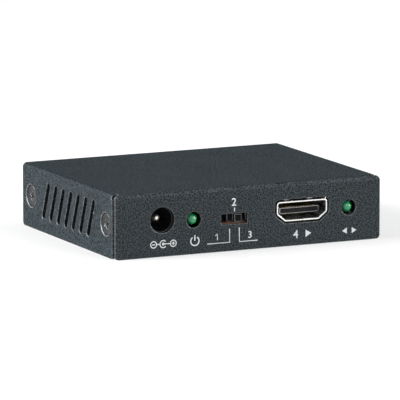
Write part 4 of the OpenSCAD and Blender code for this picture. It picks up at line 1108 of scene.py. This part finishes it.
# Cover screws
# Four countersunk steel screws with cross recesses, plated black, that run
# through the side walls into the press nuts of the base's ears.
def cross_recess(screw, length, width, depth, above):
    """Sinks two crossed, tapered wings into the head."""
    taper = (0.42, 0.6, 1)
    for turn in (0, 90):
        wing = block("wing", (-length / 2, -width / 2, -depth), (length / 2, width / 2, above))
        edit(wing, lambda centre, normal: normal.z < -0.9)
        bpy.ops.transform.resize(value=taper)
        close()
        wing.data.transform(Matrix.Rotation(math.radians(turn), 4, "Z"))
        only(screw)
        cut = screw.modifiers.new("cut", "BOOLEAN")
        cut.operation = "DIFFERENCE"
        cut.solver = "EXACT"
        cut.object = wing
        bpy.ops.object.modifier_apply(modifier="cut")
        bpy.data.objects.remove(wing)


def cover_screw(plate, wear_and_glint):
    """One screw at the origin, its head's face at z = 0 and its end below."""
    head_radius, lip, cone, cone_share = 2.62 * MM, 0.12 * MM, 1.08 * MM, 0.55
    shank, tip, tip_share = 3.6 * MM, 0.18 * MM, 0.84
    dish_margin, dish_slope, dish = 0.5 * MM, 0.7 * MM, 0.08 * MM
    screw = cylinder(72, head_radius, lip, foot=(0, 0, -lip))
    screw.data.materials.append(plate)
    screw.data.materials.append(wear_and_glint)
    edit(screw, lambda centre, normal: normal.z < -0.9)
    raise_face(-cone)
    bpy.ops.transform.resize(value=(cone_share, cone_share, 1))
    raise_face(-shank)
    raise_face(-tip)
    bpy.ops.transform.resize(value=(tip_share, tip_share, 1))
    close()
    edit(screw, on_top)
    bpy.ops.mesh.inset(thickness=dish_margin, depth=0)
    bpy.ops.mesh.inset(thickness=dish_slope, depth=0)
    bpy.ops.transform.translate(value=(0, 0, -dish))
    close()
    cross_recess(screw, length=3.0 * MM, width=0.66 * MM, depth=1.1 * MM, above=0.2 * MM)
    round_edges(screw, 0.08 * MM, angle=math.radians(28), rim=RIM)
    return screw


def into_wall(box, turn):
    """The move that lays a screw into a side wall, its cross turned by degrees."""
    low, high = box
    centre = (low + high) / 2
    side = -1 if centre.x < 0 else 1
    face = low.x if side < 0 else high.x
    crossed = Matrix.Rotation(math.radians(turn), 4, "Z")
    laid = Matrix.Rotation(math.radians(90 * side), 4, "Y")
    return Matrix.Translation((face, centre.y, centre.z)) @ laid @ crossed


black_plating = metal_material("black_plating", (0.022, 0.023, 0.025), tarnish=(0.06, 0.06, 0.06),
                               amount=0.6, gloss=0.3, scratch=0.15, metallic=0.9)
# Bright steel on the screws' rounded edges: plating worn through, painted bright also as glints round the rim
# and cross.
worn_and_glinting_edge = metal_material("worn_and_glinting_edge", (0.8, 0.8, 0.8), tarnish=(0.4, 0.4, 0.4), amount=0.5, gloss=0.22)
stand_in(cover_screw(black_plating, worn_and_glinting_edge), "cover_screw_set", "cover_screws",
         [into_wall(box, turn) for box, turn in zip(solids("cover_screws"), (20, 65, 38, 82))])
